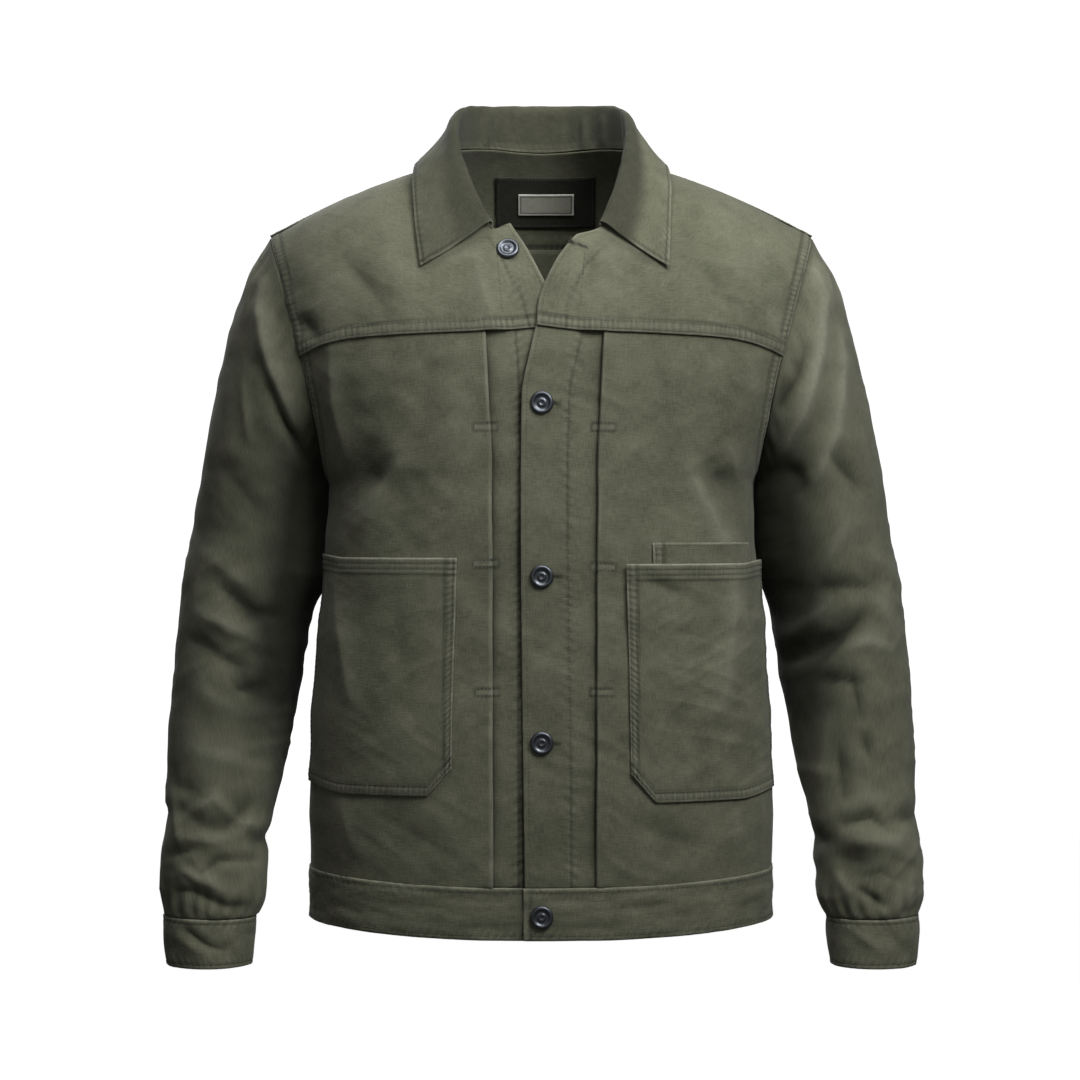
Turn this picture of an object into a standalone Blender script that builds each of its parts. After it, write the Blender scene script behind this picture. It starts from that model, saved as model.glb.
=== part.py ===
"""Cotton canvas overshirt: yoke, pleated fronts, patch pockets, waistband and buttoned cuffs.

The cloth is filled out as if worn, open at the neck, hem, armholes and cuffs. Metres, +Z up.
+X is the wearer's left, -Y the front. The origin lies between the shoulders, at the height
of the shoulder points beside the neck. Each panel is a mid surface worked out from the
tables below, given its wall by Solidify.
"""

import math

import bpy
import numpy as np
from mathutils import Vector

# Cloth, in metres
CLOTH = 0.0012
BAND = 0.0022
PATCH = 0.0010
LAYER = 0.0017
BAND_LAYER = 0.0026
TOUCH = 0.0004
CLEAR = 0.0003
PLEAT_UNDERLAY = 0.012

# Body
CHEST_HEIGHT = -0.17
FRONT_ROUND, BACK_ROUND = 2.5, 2.4
BODY_SHIFT = 0.0010
BODY = {
    "height": (-0.652, -0.612, -0.586, -0.560, -0.521, -0.469, -0.417, -0.378, -0.339, -0.300,
               -0.275, -0.262, -0.245, -0.220, -0.195, -0.170, -0.120, -0.090, -0.060, 0.0),
    "half_width": (0.1975, 0.1980, 0.1982, 0.1990, 0.1975, 0.1953, 0.1920, 0.1882, 0.1855, 0.1830,
                   0.1820, 0.1870, 0.1945, 0.2070, 0.2183, 0.2279, 0.2394, 0.2449, 0.2500, 0.2560),
    "front": (0.122, 0.123, 0.125, 0.127, 0.129, 0.131, 0.132, 0.133, 0.134, 0.135,
              0.135, 0.135, 0.135, 0.1345, 0.134, 0.133, 0.133, 0.133, 0.133, 0.133),
    "back": (0.112, 0.113, 0.115, 0.116, 0.117, 0.117, 0.117, 0.118, 0.118, 0.120,
             0.121, 0.122, 0.123, 0.124, 0.125, 0.125, 0.125, 0.125, 0.125, 0.125),
}
WAIST_SEAM, HEM = -0.6014, -0.6438
FRONT_DIP = 0.0086
# Where the two fronts stop lying on each other, from the centre
CROSSING_FROM, CROSSING_TO = 0.020, 0.042

# Shoulders and neck; a column power is how squarely the body turns in towards the ridge
FRONT_COLUMN, FRONT_COLUMN_SIDE, BACK_COLUMN = 1.5, 2.1, 2.2
RIDGE_START, RIDGE_SLOPE, RIDGE_CURVE = 0.0020, 0.27, 0.90
RIDGE_FROM = 0.0755
NECK_CLIMB, CLIMB_FROM, CLIMB_TO = 0.009, 0.068, 0.110
NECK_HALF_WIDTH = 0.071
NECK_RISE, NECK_RISE_POWER = 0.029, 1.05
NECK_BACK = 0.081
SHOULDER_SEAM = 0.011
SEAM_LAP = 0.006
SHOULDER_LAP, SHOULDER_LAP_LIFT = 0.004, 1.7
BACK_SEAM_CENTRE, BACK_SEAM_DROP = -0.067, 0.018

# Armhole, as seen from the front
ARM_TOP, ARM_PIT = 0.232, 0.182
PIT_HEIGHT = -0.275
ARM_BOW = 0.0065
ARM_GAP = 0.0014
SIDE_SEAM = math.acos(0.0006)

# The seam between front yoke and front: height by share of the half width
YOKE_SEAM = {
    "share": (0.0, 0.13, 0.26, 0.52, 0.67, 0.78, 0.90),
    "height": (-0.1450, -0.1490, -0.1503, -0.1525, -0.1545, -0.1590, -0.1690),
}

TOP_ROW = -0.143

# Each side, in side coordinates: x grows from the centre towards that side's sleeve
FRONTS = {
    "right": {
        "side": -1.0,
        "overlap": -1.0,
        "edge": {
            "height": (-0.612, -0.200, -0.150, -0.125, -0.108, -0.0912, -0.0785, -0.0674, -0.0581),
            "x": (-0.0200, -0.0200, -0.0165, -0.0100, -0.0021, 0.0058, 0.0125, 0.0200, 0.0259),
        },
        "collar_end": 0.0405,
        "neck_depth": 0.0980,
        "pleat": {"height": (-0.612, -0.33, -0.22, -0.14), "x": (0.0411, 0.0411, 0.0436, 0.0469)},
        "pocket_height": 0.0025,
    },
    "left": {
        "side": 1.0,
        "overlap": 1.0,
        "edge": {
            "height": (-0.612, -0.289, -0.207, -0.1655, -0.1441, -0.1232, -0.1122, -0.0976,
                       -0.0851, -0.0698),
            "x": (-0.0132, -0.0165, -0.0156, -0.0078, -0.0033, -0.0016, 0.0021, 0.0094,
                  0.0168, 0.0292),
        },
        "collar_end": 0.0497,
        "neck_depth": 0.1098,
        "pleat": {"height": (-0.612, -0.33, -0.22, -0.14), "x": (0.0469, 0.0469, 0.0494, 0.0526)},
        "pocket_height": -0.0025,
    },
}

# Patch pocket
POCKET_TOP, POCKET_BOTTOM = -0.3395, -0.5355
POCKET_INNER = 0.0725
POCKET_OUTER_ANGLE = math.radians(82)
POCKET_CUT_WIDTH, POCKET_CUT_HEIGHT = 0.019, 0.0235
POCKET_MOUTH, POCKET_FULLNESS = 0.0020, 0.0012
POCKET_CORNER_UP, POCKET_SIDE_UP = 0.003, 0.006
INNER_POCKET_TOP, INNER_POCKET_BOTTOM = -0.3245, -0.375
INNER_POCKET_INNER, INNER_POCKET_OUTER = 0.0913, 0.1740

# Neck patch and label on the inside of the back yoke
PATCH_LIFT, LABEL_LIFT = -0.0006, -0.0025
PATCH_LEFT, PATCH_RIGHT, PATCH_TOP, PATCH_BOTTOM = -0.0403, 0.0483, 0.0014, -0.0412
LABEL_LEFT, LABEL_RIGHT, LABEL_TOP, LABEL_BOTTOM = -0.0205, 0.0294, -0.0119, -0.0295

# Collar: half table from the back centre to the front end
COLLAR = {
    "share": (0.00, 0.13, 0.25, 0.36, 0.47, 0.60, 0.75, 0.88, 1.00),
    "roll_x": (0.0000, 0.0300, 0.0545, 0.0675, 0.0722, 0.0705, 0.0620, 0.0535, 0.0420),
    "roll_y": (0.0780, 0.0735, 0.0560, 0.0280, 0.0000, -0.0320, -0.0600, -0.0800, -0.0950),
    "roll_z": (0.0625, 0.0622, 0.0600, 0.0535, 0.0410, 0.0170, -0.0140, -0.0360, -0.0580),
    "edge_x": (0.0000, 0.0430, 0.0775, 0.0930, 0.1045, 0.1077, 0.1056, 0.1036, 0.1007),
    "edge_y": (0.0830, 0.0728, 0.0470, 0.0200, -0.0150, -0.0560, -0.0890, -0.1000, -0.1102),
    "edge_lift": (0.0090, 0.0088, 0.0086, 0.0086, 0.0086, 0.0080, 0.0065, 0.0060, 0.0060),
}
COLLAR_BULGE = -0.0011
COLLAR_TIP_SHARE, COLLAR_CLEAR = 0.60, 0.0016
COLLAR_TURN = 0.0022

# Sleeve: outer and inner points as seen from the front, half depth and middle of each ring
SLEEVE = {
    "outer_x": (0.2335, 0.2500, 0.2665, 0.2768, 0.2855, 0.2928, 0.2990, 0.3045, 0.3120, 0.3150,
                0.3185, 0.3210, 0.3210, 0.3238, 0.3240, 0.3205),
    "outer_z": (-0.0600, -0.0900, -0.1315, -0.1704, -0.2093, -0.2483, -0.2872, -0.3261, -0.3650,
                -0.4040, -0.4498, -0.4970, -0.5420, -0.5860, -0.6150, -0.6400),
    "inner_x": (0.1850, 0.1870, 0.1875, 0.1878, 0.1880, 0.1888, 0.1905, 0.1985, 0.2045, 0.2090,
                0.2158, 0.2232, 0.2320, 0.2345, 0.2355, 0.2432),
    "inner_z": (-0.2735, -0.2830, -0.2970, -0.3120, -0.3260, -0.3400, -0.3570, -0.3810, -0.4120,
                -0.4450, -0.4850, -0.5240, -0.5600, -0.5960, -0.6220, -0.6412),
    "depth": (0.080, 0.079, 0.077, 0.075, 0.073, 0.071, 0.069, 0.067, 0.065, 0.063, 0.060,
              0.057, 0.054, 0.050, 0.046, 0.040),
    "middle_y": (0.000, 0.004, 0.009, 0.014, 0.017, 0.019, 0.020, 0.019, 0.015, 0.009, 0.001,
                 -0.008, -0.018, -0.028, -0.034, -0.038),
}
SLEEVE_FADE = 0.22
CUFF = {
    "outer_x": (0.3203, 0.3206, 0.3196, 0.3178),
    "outer_z": (-0.6408, -0.6545, -0.6680, -0.6815),
    "inner_x": (0.2440, 0.2442, 0.2455, 0.2470),
    "inner_z": (-0.6422, -0.6550, -0.6680, -0.6815),
    "depth": (0.0400, 0.0400, 0.0395, 0.0390),
    "middle_y": (-0.0382, -0.0390, -0.0400, -0.0410),
}

# Waistband: its two ends in radians from the front centre, how far it stands proud of the
# body, and how far its middle is set back with the centre strips, in cloth layers
BAND_START, BAND_STOP, BAND_REACH = 0.106, -0.0715, math.radians(24)
BAND_PROUD, BAND_SET_BACK = 0.0008, 1.6

# Largest folds, as seen from the front: from and to points, width and height
FOLDS = {
    "sleeve_right_front": (
        (-0.242, -0.098, -0.213, -0.221, 0.012, 0.0035),
        (-0.239, -0.169, -0.202, -0.250, 0.008, -0.0035),
        (-0.278, -0.390, -0.228, -0.415, 0.013, -0.0035),
        (-0.280, -0.560, -0.262, -0.562, 0.022, -0.0040),
        (-0.317, -0.590, -0.290, -0.588, 0.010, -0.0030),
        (-0.275, -0.598, -0.250, -0.608, 0.010, 0.0030),
    ),
    "sleeve_left_front": (
        (0.237, -0.087, 0.206, -0.252, 0.012, 0.0035),
        (0.262, -0.144, 0.243, -0.268, 0.014, 0.0040),
        (0.230, -0.160, 0.208, -0.204, 0.008, -0.0035),
        (0.279, -0.390, 0.224, -0.427, 0.013, -0.0045),
        (0.267, -0.415, 0.305, -0.417, 0.010, 0.0030),
        (0.265, -0.590, 0.270, -0.600, 0.020, -0.0035),
    ),
    "sleeve_right_back": (
        (-0.250, -0.110, -0.222, -0.225, 0.014, 0.0035),
        (-0.285, -0.385, -0.235, -0.410, 0.014, -0.0035),
        (-0.300, -0.545, -0.265, -0.570, 0.018, -0.0035),
    ),
    "sleeve_left_back": (
        (0.256, -0.105, 0.224, -0.235, 0.014, 0.0035),
        (0.283, -0.395, 0.230, -0.425, 0.014, -0.0040),
        (0.298, -0.560, 0.262, -0.580, 0.018, -0.0035),
    ),
    "front_right": (
        (-0.165, -0.080, -0.133, -0.118, 0.014, -0.0025),
        (-0.175, -0.190, -0.165, -0.235, 0.012, 0.0025),
        (-0.142, -0.255, -0.150, -0.262, 0.022, -0.0030),
        (-0.118, -0.245, -0.148, -0.292, 0.013, 0.0025),
    ),
    "front_left": (
        (0.046, -0.085, 0.041, -0.112, 0.008, -0.0022),
        (0.125, -0.245, 0.143, -0.290, 0.012, 0.0030),
        (0.155, -0.258, 0.158, -0.266, 0.020, -0.0030),
        (0.180, -0.170, 0.184, -0.205, 0.012, 0.0025),
    ),
    "back": (
        (-0.120, -0.170, -0.155, -0.290, 0.018, 0.0035),
        (0.115, -0.180, 0.158, -0.300, 0.018, 0.0035),
        (-0.060, -0.420, -0.120, -0.540, 0.022, -0.0030),
        (0.070, -0.400, 0.110, -0.550, 0.022, -0.0030),
    ),
}

# Tack button, turned: radius and height of each profile point
BUTTON_PROFILE = ((0.0, 0.0023), (0.0022, 0.0021), (0.0030, 0.0014), (0.0056, 0.0016),
                  (0.0066, 0.0027), (0.0088, 0.0024), (0.00965, 0.0011), (0.0088, 0.0), (0.0, 0.0))
BUTTON_SIDES = 18
BUTTON_X = 0.0005
BUTTON_HEIGHTS = (-0.0815, -0.2092, -0.3520, -0.4890, -0.6330)
TOP_BUTTON_X, TOP_BUTTON_CLEAR = -0.0276, 0.0009
CUFF_BUTTON_ANGLE = math.radians(235)

# Colours
OLIVE = (0.125, 0.128, 0.085, 1.0)
LABEL_GREY = (0.130, 0.130, 0.100, 1.0)
GUNMETAL = (0.16, 0.17, 0.19, 1.0)

# How finely each piece is divided
STRIP_COLUMNS, PANEL_COLUMNS, PANEL_ROWS = 3, 11, 15
YOKE_EDGE_ROWS, YOKE_NECK_ROWS = 4, 6
BACK_COLUMNS, BACK_ROWS = 24, 15
BACK_YOKE_ROWS = 9
SLEEVE_SIDES, SLEEVE_ROWS = 26, 22
CUFF_SIDES = 24


def through(value, stops, values, free=False):
    """Smooth curve through a table: cubic pieces that never overshoot, or free ones that may."""
    stops, values = np.asarray(stops, float), np.asarray(values, float)
    if stops[0] > stops[-1]:
        stops, values = stops[::-1], values[::-1]
    step = np.diff(stops)
    slope = np.diff(values) / step
    tangent = np.concatenate([slope[:1], np.zeros(len(slope) - 1), slope[-1:]])
    same = slope[:-1] * slope[1:] > 0
    joint = slope[:-1] + slope[1:]
    tangent[1:-1][same] = 2 * (slope[:-1] * slope[1:])[same] / joint[same]
    if free:
        tangent[1:-1] = (slope[:-1] * step[1:] + slope[1:] * step[:-1]) / (step[:-1] + step[1:])
    value = np.clip(value, stops[0], stops[-1])
    piece = np.clip(np.searchsorted(stops, value, side="right") - 1, 0, len(step) - 1)
    width = step[piece]
    share = (value - stops[piece]) / width
    start, end = values[piece], values[piece + 1]
    rise = end - start
    a = tangent[piece] * width - rise
    b = -tangent[piece + 1] * width + rise
    return start + rise * share + share * (1 - share) * (a * (1 - share) + b * share)


def ease(start, end, value):
    """Smooth step from 0 at start to 1 at end, either way round."""
    share = np.clip((value - start) / (end - start), 0.0, 1.0)
    return share * share * (3.0 - 2.0 * share)


def mix(first, second, share):
    return first + (second - first) * share


def body_size(name, height):
    return through(height, BODY["height"], BODY[name])


def ridge(x):
    """Height of the shoulder ridge above the floor of this frame, by distance from the centre."""
    out = np.maximum(np.abs(x) - RIDGE_FROM, 0.0)
    inside = np.clip(1.0 - (x / RIDGE_FROM) ** 2, 0.0, 1.0)
    slope = RIDGE_SLOPE * (out - RIDGE_FROM / 2 * inside)
    climb = NECK_CLIMB * (1.0 - ease(CLIMB_FROM, CLIMB_TO, np.abs(x)))
    return RIDGE_START - slope - RIDGE_CURVE * out**2 + climb


def span(x, back):
    """From chest height up to the ridge; the back rises more behind the neck."""
    inside = np.clip(1.0 - (x / NECK_HALF_WIDTH) ** 2, 0.0, 1.0)
    return ridge(x) - CHEST_HEIGHT + np.where(back, NECK_RISE * inside**NECK_RISE_POWER, 0.0)


def column_power(x, back):
    front = mix(FRONT_COLUMN, FRONT_COLUMN_SIDE, ease(0.05, 0.15, np.abs(x)))
    return np.where(back, BACK_COLUMN, front)


def ring_depth(share, height, back):
    """Depth of the body's rounded section, by share of its half width."""
    power = np.where(back, BACK_ROUND, FRONT_ROUND)
    depth = np.where(back, body_size("back", height), body_size("front", height))
    return depth * (1.0 - np.clip(np.abs(share), 0.0, 1.0) ** power) ** (1.0 / power)


def torso(angle, height):
    """Body below the shoulders: angle runs from 0 at the centre front to pi at the centre back."""
    x = body_size("half_width", height) * np.sin(angle)
    back = np.cos(angle) < 0
    power = column_power(x, back)
    above = np.clip((height - CHEST_HEIGHT) / span(x, back), 0.0, 0.9999)
    depth = ring_depth(np.sin(angle), height, back) * (1.0 - above**power) ** (1.0 / power)
    y = np.where(back, depth, -depth)
    return np.stack([x, y, height + 0.0 * x], axis=-1)


def shoulder(x, turn):
    """Body near the shoulders: turn is 0 on the ridge, negative to the front, positive behind."""
    back = turn > 0
    power = column_power(x, back)
    height = CHEST_HEIGHT + span(x, back) * np.abs(np.cos(turn)) ** (2.0 / power)
    depth = ring_depth(x / body_size("half_width", height), height, back)
    y = np.sign(turn) * depth * np.sin(np.abs(turn)) ** (2.0 / power)
    return np.stack([x + 0.0 * turn, y, height], axis=-1)


def turn_at_height(x, height, back):
    rise = np.clip((height - CHEST_HEIGHT) / span(x, back), 0.0, 1.0)
    turn = np.arccos(rise ** (column_power(x, back) / 2.0))
    return np.where(back, turn, -turn)


def turn_at_depth(x, depth, back):
    height = ridge(x) + 0.0 * depth
    power = column_power(x, back)
    for _ in range(4):
        full = ring_depth(x / body_size("half_width", height), height, back)
        share = np.clip(depth / full, 0.0, 1.0)
        turn = np.arcsin(share ** (power / 2.0))
        height = CHEST_HEIGHT + span(x, back) * np.cos(turn) ** (2.0 / power)
    return np.where(back, turn, -turn)


def lifted(surface, first, second, lift):
    """Points of a surface, moved out along its normal."""
    step = 2e-4
    along = surface(first + step, second) - surface(first - step, second)
    across = surface(first, second + step) - surface(first, second - step)
    normal = np.cross(along, across)
    normal /= np.maximum(np.linalg.norm(normal, axis=-1, keepdims=True), 1e-12)
    return surface(first, second) + normal * np.asarray(lift)[..., None]


def folded(points, folds, outward):
    """Adds soft ridges and troughs along straight lines given as seen from the front."""
    x, z = points[..., 0], points[..., 2]
    total = np.zeros_like(x)
    for x0, z0, x1, z1, width, height in folds:
        run_x, run_z = x1 - x0, z1 - z0
        share = ((x - x0) * run_x + (z - z0) * run_z) / (run_x**2 + run_z**2)
        share = np.clip(share, 0.0, 1.0)
        away = np.hypot(x - x0 - share * run_x, z - z0 - share * run_z)
        total += height * np.exp(-((away / width) ** 2))
    return points + outward * total[..., None]


def grid_normals(points):
    along = np.gradient(points, axis=1)
    across = np.gradient(points, axis=0)
    normal = np.cross(along, across)
    return normal / np.maximum(np.linalg.norm(normal, axis=-1, keepdims=True), 1e-12)


def spaced(surface, line, count):
    """Resamples a line of surface parameters at even steps of its real length."""
    points = surface(line[:, 0], line[:, 1])
    length = np.concatenate([[0.0], np.cumsum(np.linalg.norm(np.diff(points, axis=0), axis=1))])
    at = np.linspace(0.0, length[-1], count)
    return np.stack([np.interp(at, length, line[:, i]) for i in range(2)], axis=1)


def patch_between(bottom, top, left, right):
    """Fills four edges, given as lines of surface parameters, with a grid of parameters."""
    across = np.linspace(0.0, 1.0, len(bottom))[None, :, None]
    up = np.linspace(0.0, 1.0, len(left))[:, None, None]
    ruled = (1 - up) * bottom[None] + up * top[None] + (1 - across) * left[:, None]
    ruled = ruled + across * right[:, None]
    corners = (1 - up) * (1 - across) * bottom[0] + (1 - up) * across * bottom[-1]
    corners = corners + up * (1 - across) * top[0] + up * across * top[-1]
    return ruled - corners


def armhole(share):
    """Armhole as seen from the front: share runs from the shoulder point to the armpit."""
    top = float(ridge(ARM_TOP))
    x = mix(ARM_TOP, ARM_PIT, share) - ARM_BOW * 4 * share * (1 - share)
    return x, mix(top, PIT_HEIGHT, share)


def overlap_lift(x, overlap):
    """The two fronts part by one layer where they cross."""
    return overlap * LAYER * (1.0 - ease(CROSSING_FROM, CROSSING_TO, x))


def seam_height(share):
    return through(share, YOKE_SEAM["share"], YOKE_SEAM["height"])


def waist_height(angle):
    return WAIST_SEAM - FRONT_DIP * np.where(np.cos(angle) > 0, np.cos(angle) ** 2, 0.0)


def back_seam_height(x):
    return BACK_SEAM_CENTRE - BACK_SEAM_DROP * (x / 0.22) ** 2


def outer_angle(rows, bottom, top):
    """Angle of a panel's outer edge in each row: the side seam, then the armhole."""
    share = np.linspace(1.0, 0.02, 300)
    x, height = armhole(share)
    angle = np.arcsin(np.clip(x / body_size("half_width", height), 0.0, 1.0))
    low, high = bottom(angle), top(angle, x)
    row = (height - low) / (high - low)
    kept = row <= 1.02
    found = np.minimum(SIDE_SEAM, np.interp(rows, row[kept], angle[kept]))
    return np.where(rows < row[0], SIDE_SEAM, found)


def front_panel(front):
    """Centre strip set back, one knife pleat, then the side out to the side seam and armhole."""
    rows = np.concatenate([np.linspace(0.0, 0.935, PANEL_ROWS), [0.97, 1.0]])

    def bottom(angle):
        return waist_height(angle) + TOUCH

    def top(angle, x):
        return seam_height(np.sin(angle)) + SEAM_LAP

    outer = outer_angle(rows, bottom, top)
    near = mix(WAIST_SEAM - FRONT_DIP, TOP_ROW, rows)
    edge = through(near, front["edge"]["height"], front["edge"]["x"])
    pleat = through(near, front["pleat"]["height"], front["pleat"]["x"])
    width = body_size("half_width", near)
    strip = np.linspace(0.0, 1.0, STRIP_COLUMNS + 1)
    strip_x = mix(edge[:, None], (pleat + PLEAT_UNDERLAY)[:, None], strip[None])
    inner = np.concatenate([strip_x, (pleat + PLEAT_UNDERLAY)[:, None], pleat[:, None]], axis=1)
    inner = np.arcsin(inner / width[:, None])
    side = np.linspace(0.0, 1.0, PANEL_COLUMNS + 1)
    side = mix(np.arcsin(pleat / width)[:, None], outer[:, None], side[None])
    angle = np.concatenate([inner, side], axis=1)
    level = np.array([-2.0] * (STRIP_COLUMNS + 1) + [-1.0] * 2 + [0.0] * (PANEL_COLUMNS + 1))
    height = mix(bottom(angle), top(angle, 0.0), rows[:, None])
    lift = level[None] * LAYER + overlap_lift(width[:, None] * np.sin(angle), front["overlap"])
    points = lifted(torso, angle, height, lift)
    points[..., 0] *= front["side"]
    outward = grid_normals(lifted(torso, angle, height, 0.0 * angle)) * [front["side"], 1, 1]
    return points, outward


def front_yoke_lift(x, height, front, overlap):
    """One layer proud of the side panel, and as far above the centre strip, which is set back."""
    pleat = front["pleat"]["x"][-1]
    over_strip = 1.0 - ease(pleat - 0.026, pleat - 0.008, x)
    over_strip = over_strip * (1.0 - ease(2 * SEAM_LAP, 0.060, height - seam_height(0.2)))
    return LAYER * (1.0 - 2.0 * over_strip) + overlap_lift(x, overlap)


def neck_turn(x, front):
    """Neck edge of a front: half an oval in plan, from the collar's end to the shoulder seam."""
    swing = np.sqrt(np.clip(1.0 - (x / NECK_HALF_WIDTH) ** 2, 0.0, 1.0))
    return turn_at_depth(x, SHOULDER_SEAM + front["neck_depth"] * swing, False)


def front_yoke(front):
    end = front["edge"]["height"][-1]
    low_x, low_z = armhole(np.linspace(0.0, 1.0, 400))
    low_share = low_x / body_size("half_width", low_z)
    meets = np.argmax(low_z < seam_height(low_share))
    bottom_edge = through(seam_height(0.0), front["edge"]["height"], front["edge"]["x"])
    width = body_size("half_width", low_z[meets])
    pleat = through(TOP_ROW, front["pleat"]["height"], front["pleat"]["x"])
    strip = mix(bottom_edge, pleat + PLEAT_UNDERLAY, np.arange(STRIP_COLUMNS) / STRIP_COLUMNS)
    out = np.linspace(np.arcsin(pleat / width), np.arcsin(low_x[meets] / width), PANEL_COLUMNS + 1)
    x = np.concatenate([strip, width * np.sin(out)])
    height = seam_height(x / body_size("half_width", seam_height(x / 0.22)))
    bottom = np.stack([x, turn_at_height(x, height, False)], axis=1)
    height = np.linspace(height[0], end, 60)
    x = through(height, front["edge"]["height"], front["edge"]["x"])
    edge = spaced(shoulder, np.stack([x, turn_at_height(x, height, False)], 1), YOKE_EDGE_ROWS + 1)
    share = np.linspace(low_z[meets], low_z[0], 200)
    share = (low_z[0] - share) / (low_z[0] - PIT_HEIGHT)
    x, height = armhole(share)
    turn = turn_at_height(x, height, False)
    stop = turn_at_depth(ARM_TOP, SHOULDER_SEAM - SHOULDER_LAP, False)
    kept = turn <= stop
    rows = YOKE_EDGE_ROWS + 1 + YOKE_NECK_ROWS
    right = spaced(shoulder, np.stack([x, turn], 1)[kept], rows + 1)
    swing = np.linspace(math.acos(front["collar_end"] / NECK_HALF_WIDTH), 0.0, 80)
    x = NECK_HALF_WIDTH * np.cos(swing)
    neck = np.stack([x, neck_turn(x, front)], 1)
    # The neck edge runs on under the back yoke's lap.
    under = turn_at_depth(NECK_HALF_WIDTH, SHOULDER_SEAM - SHOULDER_LAP, False)
    lap = np.array([[NECK_HALF_WIDTH, mix(neck[-1, 1], under, share)] for share in (0.5, 1.0)])
    neck = spaced(shoulder, np.concatenate([neck, lap]), YOKE_NECK_ROWS + 1)
    # The rows keep clear of the neck corner, which gets its own place afterwards.
    corner = edge[-1].copy()
    edge[-1] = mix(edge[-2], corner, 0.45)
    left = np.concatenate([edge, neck])
    x = np.linspace(NECK_HALF_WIDTH, right[-1, 0], 60)
    seam = np.stack([x, turn_at_depth(x, SHOULDER_SEAM - SHOULDER_LAP + 0 * x, False)], 1)
    top = spaced(shoulder, seam, STRIP_COLUMNS + PANEL_COLUMNS + 1)
    top[-1] = right[-1]
    grid = patch_between(bottom, top, left, right)
    grid[YOKE_EDGE_ROWS, 0] = corner
    x, turn = grid[..., 0], grid[..., 1]
    height = shoulder(x, turn)[..., 2]
    points = lifted(shoulder, x, turn, front_yoke_lift(x, height, front, front["overlap"]))
    outward = grid_normals(shoulder(x, turn)) * [front["side"], 1, 1]
    points[..., 0] *= front["side"]
    return points, outward


def back_yoke_lift(turn):
    return LAYER * (1.0 + SHOULDER_LAP_LIFT * ease(0.35, -0.02, turn))


def back_yoke():
    """From the back seam over the ridge to the shoulder seams; its top edge holds the neck."""
    share = np.linspace(0.0, 1.0, 600)
    x, height = armhole(share)
    meets = np.argmax(height < back_seam_height(x))
    behind = np.stack([x, turn_at_height(x, height, True)], 1)[: meets + 1]
    ahead = np.stack([x, turn_at_height(x, height, False)], 1)
    ahead = ahead[ahead[:, 1] > turn_at_depth(ARM_TOP, SHOULDER_SEAM, False)]
    right = spaced(shoulder, np.concatenate([behind[::-1], ahead[1:]]), BACK_YOKE_ROWS + 1)
    left = right * [-1, 1]
    width = body_size("half_width", back_seam_height(right[0, 0]))
    reach = np.arcsin(right[0, 0] / width)
    x = width * np.sin(np.linspace(-reach, reach, BACK_COLUMNS + 1))
    bottom = np.stack([x, turn_at_height(x, back_seam_height(x), True)], 1)
    x = np.linspace(right[-1, 0], NECK_HALF_WIDTH, 60)
    seam = np.stack([x, turn_at_depth(x, SHOULDER_SEAM + 0 * x, False)], 1)
    swing = np.linspace(0.0, math.pi / 2, 120)
    x, y = NECK_HALF_WIDTH * np.cos(swing), NECK_BACK * np.sin(swing) - SHOULDER_SEAM
    turn = np.where(y < 0, turn_at_depth(x, np.abs(y), False), turn_at_depth(x, np.abs(y), True))
    neck = spaced(shoulder, np.stack([x, turn], 1), 7)
    seam = spaced(shoulder, seam, 7)
    seam[0] = right[-1]
    half = np.concatenate([seam, neck[1:]])
    top = np.concatenate([half * [-1, 1], half[-2::-1]])
    grid = patch_between(bottom, top, left, right)
    return lifted(shoulder, grid[..., 0], grid[..., 1], back_yoke_lift(grid[..., 1]))


def back_panel():
    rows = np.linspace(0.0, 1.0, BACK_ROWS + 1)

    def bottom(angle):
        return WAIST_SEAM + TOUCH + 0.0 * angle

    def top(angle, x):
        return back_seam_height(x) + SEAM_LAP

    outer = outer_angle(rows, bottom, top)
    across = np.linspace(-1.0, 1.0, BACK_COLUMNS + 1)
    angle = math.pi - outer[:, None] * across[None]
    low = bottom(angle)
    x = 0.22 * np.sin(angle)
    for _ in range(3):
        height = mix(low, top(angle, x), rows[:, None])
        x = body_size("half_width", height) * np.sin(angle)
    points = torso(angle, height)
    return points, grid_normals(points)


def sleeve_ring(table, angle, along):
    """Ring through an outer and an inner point; angle 0 is outside, a quarter turn the front."""
    at = np.linspace(0.0, 1.0, len(table["depth"]))
    size = {name: through(along, at, values) for name, values in table.items()}
    share = (1.0 + np.cos(angle)) / 2.0
    x = mix(size["inner_x"], size["outer_x"], share)
    z = mix(size["inner_z"], size["outer_z"], share)
    return np.stack([x, size["middle_y"] - size["depth"] * np.sin(angle), z], axis=-1)


def sleeve_head(angle):
    """The armhole edge, moved off the body by the seam's gap."""
    share = (1.0 - np.cos(angle)) / 2.0
    x, height = armhole(share)
    front = np.sin(angle) >= 0
    body = torso(np.arcsin(np.clip(x / body_size("half_width", height), 0, 1)), height)
    behind = torso(math.pi - np.arcsin(np.clip(x / body_size("half_width", height), 0, 1)), height)
    points = np.where(front[..., None], body, behind)
    points[..., 0] += ARM_GAP * (1.0 + 0.8 * ease(0.5, 1.0, share))
    points[..., 2] += ARM_GAP * ease(0.6, 1.0, share)
    return points


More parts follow.
